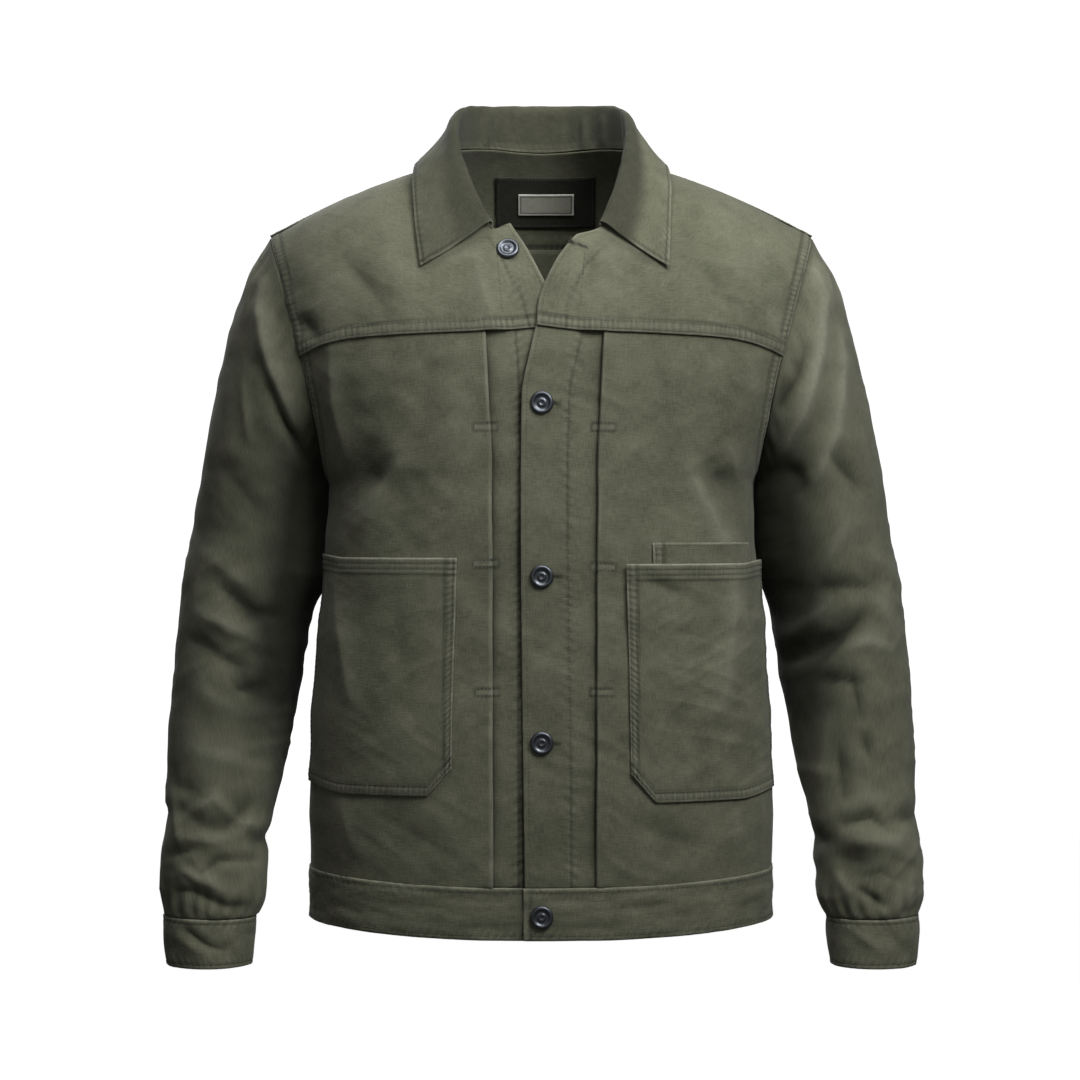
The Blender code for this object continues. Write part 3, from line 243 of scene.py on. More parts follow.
# Creases as seen from the front, in millimetres and side coordinates: width, height (below
# zero for a trough), then the bent line's x, z, x, z and so on
CREASES = {
    "front_right": (
        (9, 2.5, 176, -165, 177, -211, 167, -250),
        (18, -3.5, 148, -264, 133, -276),
        (10, 3.2, 118, -259, 148, -307),
        (12, -3, 163, -89, 131, -127),
        (8, -2.8, 200, -137, 187, -152),
        (8, 1.6, 55, -91, 42, -139),
        (10, 2.5, 172, -359, 158, -452),
        (14, -1.2, 92, -165, 97, -223),
        (16, -1.4, 121, -371, 108, -454),
        (12, -1.5, 129, -553, 83, -578),
        (9, 1.5, 166, -545, 156, -582),
    ),
    "front_left": (
        (8, 2, 176, -170, 180, -204),
        (8, 2, 161, -246, 167, -269),
        (10, 3.2, 123, -265, 139, -303, 147, -324),
        (16, -3.2, 146, -268, 159, -279),
        (6, 2.2, 190, -134, 195, -157),
        (6, -2, 43, -82, 39, -108),
        (10, 3, 154, -327, 159, -376, 154, -437, 147, -462),
        (6, -1.6, 88, -355, 113, -366),
        (20, -2.2, 106, -464, 119, -475),
        (14, -1.2, 98, -174, 105, -231),
        (12, -1.6, 131, -99, 156, -124),
        (12, -1.5, 81, -557, 131, -578),
        (9, 1.5, 166, -546, 161, -582),
    ),
    "sleeve_right": (
        (8, 3.6, 237, -104, 239, -123, 230, -173, 209, -224),
        (6, -3.6, 235, -173, 215, -224, 200, -252),
        (4, 1.3, 252, -190, 248, -237),
        (9, -3.8, 271, -361, 245, -383, 224, -389),
        (8, -2.8, 298, -406, 254, -428),
        (6, -2.2, 259, -447, 235, -448),
        (8, -2, 308, -528, 297, -534, 283, -537),
        (9, -3, 304, -549, 284, -560, 266, -563, 249, -548),
        (5, -2.2, 313, -588, 299, -583, 287, -580),
        (4.5, -2.6, 286, -602, 272, -591, 258, -590, 243, -592),
        (5, -2.6, 308, -617, 293, -616, 283, -621, 266, -629, 251, -630),
        (8, -2.8, 243, -574, 233, -577),
        (10, -1.2, 323, -551, 310, -556),
        (5, 1.4, 257, -93, 268, -124),
        (5, 1.4, 246, -88, 254, -130),
        (10, 2.2, 279, -339, 250, -360),
        (9, 2.2, 292, -383, 246, -406),
        (12, 1.8, 288, -449, 250, -470),
        (14, 2, 296, -499, 246, -512),
        (5, 2, 306, -560, 288, -547, 276, -539, 258, -556, 240, -566),
        (6, 2, 304, -571, 281, -574, 262, -572),
        (5, 1.8, 300, -600, 283, -607, 268, -617),
        (3.5, 1.2, 312, -538, 309, -556, 304, -576),
        (3.5, 1.2, 244, -550, 252, -571, 246, -590),
        (14, -1.8, 267, -263, 235, -305),
    ),
    "sleeve_left": (
        (10, 4.2, 230, -93, 239, -116, 234, -160, 222, -212, 200, -255),
        (10, 3.6, 254, -149, 255, -181, 249, -231, 234, -270),
        (7, -3.2, 223, -164, 217, -185, 202, -207),
        (12, -4.2, 208, -263, 223, -273),
        (8, -3, 245, -250, 271, -276),
        (8, -3, 240, -360, 284, -360),
        (10, -5.8, 271, -389, 252, -406, 217, -425),
        (9, 3.4, 260, -413, 278, -408, 297, -415),
        (8, -3, 234, -438, 273, -441),
        (6, -2.2, 264, -438, 271, -469),
        (6, -2.2, 273, -489, 278, -505),
        (7, -2.4, 252, -498, 255, -538),
        (6, -3.4, 255, -561, 276, -554, 289, -563),
        (15, -4.8, 250, -588, 275, -592),
        (6, -2.4, 269, -605, 285, -600, 298, -607),
        (5, -3.4, 266, -614, 287, -628),
        (9, -3.5, 225, -575, 242, -575),
        (9, -2.8, 301, -556, 319, -556),
        (5, 1.5, 249, -91, 260, -128),
        (5, 1.5, 240, -88, 247, -124),
        (9, 3.2, 244, -377, 214, -406),
        (10, 1.6, 286, -373, 307, -406),
        (10, 1.8, 244, -474, 239, -524),
        (8, 2.4, 260, -575, 298, -577),
        (7, 1.8, 248, -602, 260, -617),
        (14, 2, 260, -305, 244, -339),
    ),
    "back": (
        (18, 3.5, -120, -170, -155, -290),
        (18, 3.5, 115, -180, 158, -300),
        (22, -3, -60, -420, -120, -540),
        (22, -3, 70, -400, 110, -550),
        (9, 2.6, -176, -165, -177, -211, -167, -250),
        (9, 2.6, 176, -165, 178, -211, 168, -260),
        (10, 2.2, -140, -300, -90, -345, -40, -360),
        (10, 2, 150, -330, 100, -370, 45, -380),
        (11, -1.8, -150, -440, -110, -470),
        (12, 2, 20, -480, 60, -560),
        (10, 1.8, -30, -120, -20, -220),
    ),
    "cuff_right": (
        (4.5, -2.2, 297, -651, 279, -663, 268, -666),
        (5, -2.2, 246, -656, 240, -656),
        (6, 1.2, 300, -658, 285, -668),
    ),
    "cuff_left": (
        (6, 1.2, 262, -650, 280, -664),
        (7, -1, 290, -648, 305, -668),
    ),
}

# Button with its rim, inner ring and dimple: radius and height of each profile point
BUTTON_PROFILE = (
    (0.0, 0.00135), (0.0010, 0.00135), (0.0019, 0.0019), (0.0028, 0.0021), (0.0034, 0.0016),
    (0.0042, 0.0013), (0.0056, 0.0014), (0.0064, 0.0022), (0.0072, 0.0027), (0.0084, 0.0026),
    (0.0092, 0.0019), (0.00965, 0.0010), (0.0094, 0.0002), (0.0086, 0.0), (0.0, 0.0),
)

# Colours
OLIVE_DARK = (0.078, 0.082, 0.052, 1.0)
OLIVE_LIGHT = (0.158, 0.160, 0.110, 1.0)
# The faded colour below is also the colour of painted highlight; the shade colour after it darkens all
# painted shade, in seams, creases, hollows and cast shadows, and a few dark marks.
OLIVE_FADED_AND_LIT = (0.300, 0.300, 0.235, 1.0)
SEAM_SHADE = (0.16, 0.165, 0.15, 1.0)
PATCH_DARK = (0.014, 0.015, 0.011, 1.0)
PATCH_LIGHT = (0.028, 0.030, 0.021, 1.0)
LABEL_DARK = (0.240, 0.240, 0.196, 1.0)
LABEL_LIGHT = (0.340, 0.340, 0.285, 1.0)
LABEL_EDGE = (0.800, 0.800, 0.720, 1.0)
THREAD = (0.050, 0.053, 0.036, 1.0)
GUNMETAL = (0.105, 0.115, 0.130, 1.0)
PAPER = (0.9, 0.9, 0.9, 1.0)

# Stage: the paper room's floor, size, rounded foot and open middle; each light's size and place
FLOOR, ROOM_RADIUS, ROOM_TOP, ROOM_BEND, ROOM_MIDDLE = -1.05, 6.0, 6.0, 1.0, 0.02
LIGHTS = {
    "main_light": (0.75, (0.86, -1.18, 0.84)),
    "top_light": (0.9, (0.00, -0.62, 0.95)),
    "fill_light": (1.4, (-0.5, -2.6, 0.0)),
    "back_light": (1.4, (-0.70, 1.90, 0.90)),
}
TOP_LIGHT_SHARE, BACK_LIGHT_SHARE = 0.42, 1.1
LIT_PLACE = (0.0, 0.0, -0.15)
CAMERA_HEIGHT = -0.322

# How many times as deep as their tables the creases are, how far the upper sleeves press to
# the body, and how far the body's lower edge reaches into the waistband
CREASE_DEPTH, PRESS, TUCKED = 1.7, 0.0058, 0.0014
# Between these places on a front its lower edge starts to reach in
TUCK_FROM, TUCK_TO = 0.064, 0.076

# Rows of stitches, by their distance from the edge
SIDE_ROWS, YOKE_ROWS, YOKE_FACING_ROWS = (0.0022, 0.0082), (0.0022, 0.0085), (0.0105, 0.0215)
POCKET_ROWS, POCKET_HEM_ROWS = (0.0020, 0.0078), (0.0040, 0.0088)
INNER_POCKET_ROWS = (0.0026, 0.0080)
BAND_ROWS = {"top": 0.0030, "bottom": 0.0033, "right": 0.0050}
FRONT_FACING_ROW, FRONT_EDGE_ROW = 0.0385, 0.0040
COLLAR_ROW, NECK_ROW, PATCH_ROW = 0.0036, 0.0030, 0.0022
EDGES = ("top", "bottom", "left", "right")

# Rows and points of the fronts, the back, the sleeves, the cuffs and the waistband
FRONT_ROWS = 212
BACK_ROWS, BACK_POINTS = 134, 106
SLEEVE_ROWS, SLEEVE_POINTS = 160, 144
CUFF_ROWS, CUFF_POINTS = 26, 168
WAISTBAND_ROWS, WAISTBAND_POINTS = 22, 470

# Points across a front: its centre strip, the cloth tucked under the pleat, and its side
STRIP_POINTS, TUCK_POINTS, SIDE_POINTS = 33, 5, 98

# A row of stitches shorter than this is a bar's or a buttonhole's
SHORT_ROW = 0.0215


def through(value, stops, values, free=False):
    """Smooth curve through a table: cubic pieces that never overshoot, or free ones that may."""
    stops, values = np.asarray(stops, float), np.asarray(values, float)
    if stops[0] > stops[-1]:
        stops, values = stops[::-1], values[::-1]
    step = np.diff(stops)
    slope = np.diff(values) / step
    tangent = np.concatenate([slope[:1], np.zeros(len(slope) - 1), slope[-1:]])
    same = slope[:-1] * slope[1:] > 0
    joint = slope[:-1] + slope[1:]
    tangent[1:-1][same] = 2 * (slope[:-1] * slope[1:])[same] / joint[same]
    if free:
        tangent[1:-1] = (slope[:-1] * step[1:] + slope[1:] * step[:-1]) / (step[:-1] + step[1:])
    value = np.clip(value, stops[0], stops[-1])
    piece = np.clip(np.searchsorted(stops, value, side="right") - 1, 0, len(step) - 1)
    width = step[piece]
    share = (value - stops[piece]) / width
    start, end = values[piece], values[piece + 1]
    rise = end - start
    a = tangent[piece] * width - rise
    b = -tangent[piece + 1] * width + rise
    return start + rise * share + share * (1 - share) * (a * (1 - share) + b * share)


def ease(start, end, value):
    """Smooth step from 0 at start to 1 at end, either way round."""
    share = np.clip((value - start) / (end - start), 0.0, 1.0)
    return share * share * (3.0 - 2.0 * share)


def mix(first, second, share):
    """From the first value to the second, in a straight line by share."""
    return first + (second - first) * share


def body_size(name, height):
    """One of the body's sizes at a height: a smooth curve through its table."""
    return through(height, BODY["height"], BODY[name])


def ridge(x):
    """Height of the shoulder ridge above the floor of this frame, by distance from the centre."""
    out = np.maximum(np.abs(x) - RIDGE_FROM, 0.0)
    inside = np.clip(1.0 - (x / RIDGE_FROM) ** 2, 0.0, 1.0)
    slope = RIDGE_SLOPE * (out - RIDGE_FROM / 2 * inside)
    climb = NECK_CLIMB * (1.0 - ease(CLIMB_FROM, CLIMB_TO, np.abs(x)))
    return RIDGE_START - slope - RIDGE_CURVE * out**2 + climb


def span(x, back):
    """From chest height up to the ridge; the back rises more behind the neck."""
    inside = np.clip(1.0 - (x / NECK_HALF_WIDTH) ** 2, 0.0, 1.0)
    return ridge(x) - CHEST_HEIGHT + np.where(back, NECK_RISE * inside**NECK_RISE_POWER, 0.0)


def column_power(x, back):
    """How squarely the body turns in to the ridge, eased from centre to side at the front."""
    front = mix(FRONT_COLUMN, FRONT_COLUMN_SIDE, ease(0.05, 0.15, np.abs(x)))
    return np.where(back, BACK_COLUMN, front)


def ring_depth(share, height, back):
    """Depth of the body's rounded section, by share of its half width."""
    power = np.where(back, BACK_ROUND, FRONT_ROUND)
    depth = np.where(back, body_size("back", height), body_size("front", height))
    return depth * (1.0 - np.clip(np.abs(share), 0.0, 1.0) ** power) ** (1.0 / power)


def torso(angle, height):
    """Body below the shoulders: angle runs from 0 at the centre front to pi at the centre back."""
    x = body_size("half_width", height) * np.sin(angle)
    back = np.cos(angle) < 0
    power = column_power(x, back)
    above = np.clip((height - CHEST_HEIGHT) / span(x, back), 0.0, 0.9999)
    depth = ring_depth(np.sin(angle), height, back) * (1.0 - above**power) ** (1.0 / power)
    y = np.where(back, depth, -depth)
    return np.stack([x, y, height + 0.0 * x], axis=-1)


def shoulder(x, turn):
    """Body near the shoulders: turn is 0 on the ridge, negative to the front, positive behind."""
    back = turn > 0
    power = column_power(x, back)
    height = CHEST_HEIGHT + span(x, back) * np.abs(np.cos(turn)) ** (2.0 / power)
    depth = ring_depth(x / body_size("half_width", height), height, back)
    y = np.sign(turn) * depth * np.sin(np.abs(turn)) ** (2.0 / power)
    return np.stack([x + 0.0 * turn, y, height], axis=-1)


def turn_at_height(x, height, back):
    """The shoulder turn whose point has this height: its height formula turned round."""
    rise = np.clip((height - CHEST_HEIGHT) / span(x, back), 0.0, 1.0)
    turn = np.arccos(rise ** (column_power(x, back) / 2.0))
    return np.where(back, turn, -turn)


def turn_at_depth(x, depth, back):
    """The shoulder turn whose point lies this deep, closed in on in four steps."""
    height = ridge(x) + 0.0 * depth
    power = column_power(x, back)
    for _ in range(4):
        full = ring_depth(x / body_size("half_width", height), height, back)
        share = np.clip(depth / full, 0.0, 1.0)
        turn = np.arcsin(share ** (power / 2.0))
        height = CHEST_HEIGHT + span(x, back) * np.cos(turn) ** (2.0 / power)
    return np.where(back, turn, -turn)


def lifted(surface, first, second, lift):
    """Points of a surface, moved out along its normal."""
    step = 2e-4
    along = surface(first + step, second) - surface(first - step, second)
    across = surface(first, second + step) - surface(first, second - step)
    normal = np.cross(along, across)
    normal /= np.maximum(np.linalg.norm(normal, axis=-1, keepdims=True), 1e-12)
    return surface(first, second) + normal * np.asarray(lift)[..., None]


def grid_normals(points):
    """Unit normals of a grid: the cross product of its two directions."""
    along = np.gradient(points, axis=1)
    across = np.gradient(points, axis=0)
    normal = np.cross(along, across)
    return normal / np.maximum(np.linalg.norm(normal, axis=-1, keepdims=True), 1e-12)


def spaced(surface, line, count):
    """Resamples a line of surface parameters at even steps of its real length."""
    points = surface(line[:, 0], line[:, 1])
    length = np.concatenate([[0.0], np.cumsum(np.linalg.norm(np.diff(points, axis=0), axis=1))])
    at = np.linspace(0.0, length[-1], count)
    return np.stack([np.interp(at, length, line[:, i]) for i in range(2)], axis=1)


def patch_between(bottom, top, left, right):
    """Fills four edges, given as lines of surface parameters, with a grid of parameters."""
    across = np.linspace(0.0, 1.0, len(bottom))[None, :, None]
    up = np.linspace(0.0, 1.0, len(left))[:, None, None]
    ruled = (1 - up) * bottom[None] + up * top[None] + (1 - across) * left[:, None]
    ruled = ruled + across * right[:, None]
    corners = (1 - up) * (1 - across) * bottom[0] + (1 - up) * across * bottom[-1]
    corners = corners + up * (1 - across) * top[0] + up * across * top[-1]
    return ruled - corners


def armhole(share):
    """Armhole as seen from the front: share runs from the shoulder point to the armpit."""
    top = float(ridge(ARM_TOP))
    x = mix(ARM_TOP, ARM_PIT, share) - ARM_BOW * 4 * share * (1 - share)
    return x, mix(top, PIT_HEIGHT, share)


def overlap_lift(x, overlap):
    """The two fronts part by one layer where they cross."""
    return overlap * LAYER * (1.0 - ease(CROSSING_FROM, CROSSING_TO, x))


def seam_height(share):
    """Height of the front yoke's seam by share of the half width."""
    return through(share, YOKE_SEAM["share"], YOKE_SEAM["height"])


def waist_height(angle):
    """The waist seam, which dips at the front with the square of the angle's cosine."""
    return WAIST_SEAM - FRONT_DIP * np.where(np.cos(angle) > 0, np.cos(angle) ** 2, 0.0)


def back_seam_height(x):
    """Height of the seam under the back yoke, lower by the square of the distance outwards."""
    return BACK_SEAM_CENTRE - BACK_SEAM_DROP * (x / CHEST_HALF_WIDTH) ** 2


def outer_angle(rows, bottom, top):
    """Angle of a panel's outer edge in each row: the side seam, then the armhole."""
    share = np.linspace(1.0, 0.02, 300)
    x, height = armhole(share)
    angle = np.arcsin(np.clip(x / body_size("half_width", height), 0.0, 1.0))
    low, high = bottom(angle), top(angle, x)
    row = (height - low) / (high - low)
    kept = row <= 1.02
    found = np.minimum(SIDE_SEAM, np.interp(rows, row[kept], angle[kept]))
    return np.where(rows < row[0], SIDE_SEAM, found)


def front_yoke_lift(x, height, front, overlap):
    """One layer proud of the side panel, and as far above the centre strip, which is set back."""
    pleat = front["pleat"]["x"][-1]
    over_strip = 1.0 - ease(pleat - 0.026, pleat - 0.008, x)
    over_strip = over_strip * (1.0 - ease(2 * SEAM_LAP, 0.060, height - seam_height(0.2)))
    return LAYER * (1.0 - 2.0 * over_strip) + overlap_lift(x, overlap)


def neck_turn(x, front):
    """Neck edge of a front: half an oval in plan, from the collar's end to the shoulder seam."""
    swing = np.sqrt(np.clip(1.0 - (x / NECK_HALF_WIDTH) ** 2, 0.0, 1.0))
    return turn_at_depth(x, SHOULDER_SEAM + front["neck_depth"] * swing, False)


def front_yoke_grid(front):
    """Surface parameters of a front yoke, filled in between its four edges."""
    end = front["edge"]["height"][-1]
    low_x, low_z = armhole(np.linspace(0.0, 1.0, 400))
    low_share = low_x / body_size("half_width", low_z)
    meets = np.argmax(low_z < seam_height(low_share))
    bottom_edge = through(seam_height(0.0), front["edge"]["height"], front["edge"]["x"])
    width = body_size("half_width", low_z[meets])
    pleat = through(TOP_ROW, front["pleat"]["height"], front["pleat"]["x"])
    strip = mix(bottom_edge, pleat + PLEAT_UNDERLAY, np.arange(STRIP_COLUMNS) / STRIP_COLUMNS)
    out = np.linspace(np.arcsin(pleat / width), np.arcsin(low_x[meets] / width), PANEL_COLUMNS + 1)
    x = np.concatenate([strip, width * np.sin(out)])
    height = seam_height(x / body_size("half_width", seam_height(x / CHEST_HALF_WIDTH)))
    bottom = np.stack([x, turn_at_height(x, height, False)], axis=1)
    height = np.linspace(height[0], end, 60)
    x = through(height, front["edge"]["height"], front["edge"]["x"])
    edge = spaced(shoulder, np.stack([x, turn_at_height(x, height, False)], 1), YOKE_EDGE_ROWS + 1)
    share = np.linspace(low_z[meets], low_z[0], 200)
    share = (low_z[0] - share) / (low_z[0] - PIT_HEIGHT)
    x, height = armhole(share)
    turn = turn_at_height(x, height, False)
    stop = turn_at_depth(ARM_TOP, SHOULDER_SEAM - SHOULDER_LAP, False)
    kept = turn <= stop
    rows = YOKE_EDGE_ROWS + 1 + YOKE_NECK_ROWS
    right = spaced(shoulder, np.stack([x, turn], 1)[kept], rows + 1)
    swing = np.linspace(math.acos(front["collar_end"] / NECK_HALF_WIDTH), 0.0, 80)
    x = NECK_HALF_WIDTH * np.cos(swing)
    neck = np.stack([x, neck_turn(x, front)], 1)
    # The neck edge runs on under the back yoke's lap.
    under = turn_at_depth(NECK_HALF_WIDTH, SHOULDER_SEAM - SHOULDER_LAP, False)
    lap = np.array([[NECK_HALF_WIDTH, mix(neck[-1, 1], under, share)] for share in (0.5, 1.0)])
    neck = spaced(shoulder, np.concatenate([neck, lap]), YOKE_NECK_ROWS + 1)
    # The rows keep clear of the neck corner, which gets its own place afterwards.
    corner = edge[-1].copy()
    edge[-1] = mix(edge[-2], corner, 0.45)
    left = np.concatenate([edge, neck])
    x = np.linspace(NECK_HALF_WIDTH, right[-1, 0], 60)
    seam = np.stack([x, turn_at_depth(x, SHOULDER_SEAM - SHOULDER_LAP + 0 * x, False)], 1)
    top = spaced(shoulder, seam, STRIP_COLUMNS + PANEL_COLUMNS + 1)
    top[-1] = right[-1]
    grid = patch_between(bottom, top, left, right)
    grid[YOKE_EDGE_ROWS, 0] = corner
    return grid


def back_yoke_lift(turn):
    """One layer proud, and more where it laps over the front yokes."""
    return LAYER * (1.0 + SHOULDER_LAP_LIFT * ease(0.35, -0.02, turn))


def back_yoke_grid():
    """From the back seam over the ridge to the shoulder seams; its top edge holds the neck."""
    share = np.linspace(0.0, 1.0, 600)
    x, height = armhole(share)
    meets = np.argmax(height < back_seam_height(x))
    behind = np.stack([x, turn_at_height(x, height, True)], 1)[: meets + 1]
    ahead = np.stack([x, turn_at_height(x, height, False)], 1)
    ahead = ahead[ahead[:, 1] > turn_at_depth(ARM_TOP, SHOULDER_SEAM, False)]
    right = spaced(shoulder, np.concatenate([behind[::-1], ahead[1:]]), BACK_YOKE_ROWS + 1)
    left = right * [-1, 1]
    width = body_size("half_width", back_seam_height(right[0, 0]))
    reach = np.arcsin(right[0, 0] / width)
    x = width * np.sin(np.linspace(-reach, reach, BACK_COLUMNS + 1))
    bottom = np.stack([x, turn_at_height(x, back_seam_height(x), True)], 1)
    x = np.linspace(right[-1, 0], NECK_HALF_WIDTH, 60)
    seam = np.stack([x, turn_at_depth(x, SHOULDER_SEAM + 0 * x, False)], 1)
    swing = np.linspace(0.0, math.pi / 2, 120)
    x, y = NECK_HALF_WIDTH * np.cos(swing), NECK_BACK * np.sin(swing) - SHOULDER_SEAM
    turn = np.where(y < 0, turn_at_depth(x, np.abs(y), False), turn_at_depth(x, np.abs(y), True))
    neck = spaced(shoulder, np.stack([x, turn], 1), 7)
    seam = spaced(shoulder, seam, 7)
    seam[0] = right[-1]
    half = np.concatenate([seam, neck[1:]])
    top = np.concatenate([half * [-1, 1], half[-2::-1]])
    return patch_between(bottom, top, left, right)


def sleeve_ring(table, angle, along):
    """Ring through an outer and an inner point; angle 0 is outside, a quarter turn the front."""
    at = np.linspace(0.0, 1.0, len(table["depth"]))
    size = {name: through(along, at, values) for name, values in table.items()}
    share = (1.0 + np.cos(angle)) / 2.0
    x = mix(size["inner_x"], size["outer_x"], share)
    z = mix(size["inner_z"], size["outer_z"], share)
    return np.stack([x, size["middle_y"] - size["depth"] * np.sin(angle), z], axis=-1)


def sleeve_head(angle):
    """The armhole edge, moved off the body by the seam's gap."""
    share = (1.0 - np.cos(angle)) / 2.0
    x, height = armhole(share)
    front = np.sin(angle) >= 0
    body = torso(np.arcsin(np.clip(x / body_size("half_width", height), 0, 1)), height)
    behind = torso(math.pi - np.arcsin(np.clip(x / body_size("half_width", height), 0, 1)), height)
    points = np.where(front[..., None], body, behind)
    points[..., 0] += ARM_GAP * (1.0 + 0.8 * ease(0.5, 1.0, share))
    points[..., 2] += ARM_GAP * ease(0.6, 1.0, share)
    return points


def collar_grid():
    """Rises from the neck edge to the roll line, turns over, and falls to its outer edge."""
    stations = np.linspace(-1.0, 1.0, 29)
    half = np.abs(stations)
    side = np.sign(stations) + (stations == 0)
    size = {}
    for name, values in COLLAR.items():
        # The half table is mirrored, so that each line runs smoothly over the back centre.
        mirror = -1.0 if name.endswith("_x") else 1.0
        stops = np.concatenate([-np.array(COLLAR["share"][:0:-1]), COLLAR["share"]])
        both = np.concatenate([mirror * np.array(values[:0:-1]), values])
        size[name] = through(stations, stops, both, free=True)
        if name.endswith("_x"):
            size[name] = size[name] * side
    ends = np.where(side > 0, FRONTS["left"]["collar_end"], FRONTS["right"]["collar_end"])
    depth = np.where(side > 0, FRONTS["left"]["neck_depth"], FRONTS["right"]["neck_depth"])
    # The neck edge, by share: behind the shoulder seams first, then down each front.
    corner = 0.47
    behind = math.pi / 2 * np.clip(1.0 - half / corner, 0.0, 1.0)
    last = np.arccos(ends / NECK_HALF_WIDTH)
    ahead = last * np.clip((half - corner) / (1 - corner), 0.0, 1.0)
    is_back = half < corner
    x = NECK_HALF_WIDTH * np.where(is_back, np.cos(behind), np.cos(ahead))
    y = np.where(is_back, NECK_BACK * np.sin(behind), -depth * np.sin(ahead)) - SHOULDER_SEAM
    behind_ridge = y > 0
    turn = np.where(behind_ridge, turn_at_depth(x, np.abs(y), True),
                    turn_at_depth(x, np.abs(y), False))
    below = np.where(is_back, back_yoke_lift(turn), LAYER)
    below = mix(below, back_yoke_lift(turn), ease(0.62, 0.47, half))
    seam = lifted(shoulder, x, turn, below + CLOTH / 2 + COLLAR_CLEAR)
    shift = (ends - COLLAR["roll_x"][-1]) * half**3 * 0.9
    roll = np.stack([size["roll_x"] + shift, size["roll_y"], size["roll_z"]], 1)
    edge_y = size["edge_y"]
    edge_x = size["edge_x"] + (ends - COLLAR["roll_x"][-1]) * half**3 * COLLAR_TIP_SHARE
    edge_turn = np.where(edge_y > 0, turn_at_depth(edge_x, np.abs(edge_y), True),
                         turn_at_depth(edge_x, np.abs(edge_y), False))
    edge = lifted(shoulder, edge_x, edge_turn, size["edge_lift"])
    out = edge - roll
    out[:, 2] = 0.0
    out /= np.maximum(np.linalg.norm(out, axis=1, keepdims=True), 1e-9)
    up = np.array([0.0, 0.0, 1.0])
    rows = [seam, mix(seam, roll, 0.35), mix(seam, roll, 0.7), roll - 0.0015 * up]
    rows.append(roll + out * COLLAR_TURN * 0.5 + up * COLLAR_TURN * 0.6)
    far_side = roll + out * COLLAR_TURN * 2
    rows.append(far_side)
    bulge = (out * 0.6 + up * 0.8) * COLLAR_BULGE
    for share in (0.25, 0.5, 0.75, 1.0):
        rows.append(mix(far_side, edge, share) + bulge * 4 * share * (1 - share))
    points = np.stack(rows)
    points[..., 0] *= side
    return points


# Finer shape


def refined(values, stops, at):
    """Free cubic pieces through every given row of values, read at closer places."""
    shape = (-1,) + (1,) * (values.ndim - 1)
    step = np.diff(stops)
    slope = np.diff(values, axis=0) / step.reshape(shape)
    before, after = step[:-1].reshape(shape), step[1:].reshape(shape)
    inner = (slope[:-1] * after + slope[1:] * before) / (before + after)
    tangent = np.concatenate([slope[:1], inner, slope[-1:]])
    piece = np.clip(np.searchsorted(stops, at, side="right") - 1, 0, len(step) - 1)
    width = step[piece].reshape(shape)
    share = ((at - stops[piece]) / step[piece]).reshape(shape)
    start, rise = values[piece], values[piece + 1] - values[piece]
    a = tangent[piece] * width - rise
    b = -tangent[piece + 1] * width + rise
    return start + rise * share + share * (1 - share) * (a * (1 - share) + b * share)


def finer(grid, places, breaks, step):
    """Rows of a grid at closer steps of real length; the rows named in breaks stay sharp corners."""
    gaps = np.linalg.norm(np.diff(places, axis=0), axis=-1).mean(axis=1)
    at_row = np.concatenate([[0.0], np.cumsum(gaps)])
    parts = []
    for first, last in zip(breaks[:-1], breaks[1:]):
        stops = at_row[first : last + 1]
        count = max(2, round((stops[-1] - stops[0]) / step))
        part = refined(grid[first : last + 1], stops, np.linspace(stops[0], stops[-1], count + 1))
        parts.append(part[1:] if parts else part)
    return np.concatenate(parts)


def finer_both(grid, surface, row_breaks, column_breaks, step):
    """A grid of surface parameters at closer steps along its rows and its columns."""
    places = surface(grid[..., 0], grid[..., 1])
    grid = finer(grid, places, row_breaks, step)
    grid = grid.swapaxes(0, 1)
    places = surface(grid[..., 0], grid[..., 1])
    return finer(grid, places, column_breaks, step).swapaxes(0, 1)


def ripple(first, second, size, seed):
    """Smooth unevenness between -1 and 1: random heights a given distance apart, eased together."""
    table = np.random.default_rng(seed).uniform(-1.0, 1.0, (97, 89))
    first, second = np.broadcast_arrays(np.asarray(first) / size, np.asarray(second) / size)
    i, j = np.floor(first).astype(int), np.floor(second).astype(int)
    s, t = first - i, second - j
    s, t = s * s * (3 - 2 * s), t * t * (3 - 2 * t)
    i0, i1, j0, j1 = i % 97, (i + 1) % 97, j % 89, (j + 1) % 89
    low = mix(table[i0, j0], table[i1, j0], s)
    high = mix(table[i0, j1], table[i1, j1], s)
    return mix(low, high, t)


def crease_field(x, z, lines, narrow=1.0):
    """Height of soft ridges and troughs along bent lines given as seen from the front.

    Each is a bell of the distance to its line, less a wide shallow one, and fullest midway."""
    total = np.zeros(np.broadcast(x, z).shape)
    for line in lines:
        width, height, *path = np.array(line) / MILLIMETRES
        path = np.array(path).reshape(-1, 2)
        runs = np.diff(path, axis=0)
        lengths = np.maximum(np.linalg.norm(runs, axis=1), 1e-6)
        whole, done = lengths.sum(), 0.0
        nearest = np.full(total.shape, 1e3)
        along = np.zeros(total.shape)
        for (x0, z0), (run_x, run_z), length in zip(path[:-1], runs, lengths):
            share = ((x - x0) * run_x + (z - z0) * run_z) / length**2
            share = np.clip(share, 0.0, 1.0)
            away = np.hypot(x - x0 - share * run_x, z - z0 - share * run_z)
            closer = away < nearest
            along = np.where(closer, (done + share * length) / whole, along)
            nearest = np.where(closer, away, nearest)
            done += length
        taper = 0.55 + 0.45 * np.sin(along * math.pi)
        width = width * narrow
        shape = np.exp(-((nearest / width) ** 1.45)) - 0.22 * np.exp(-((nearest / width / 2.6) ** 2))
        total += height * taper * shape
    return CREASE_DEPTH * total


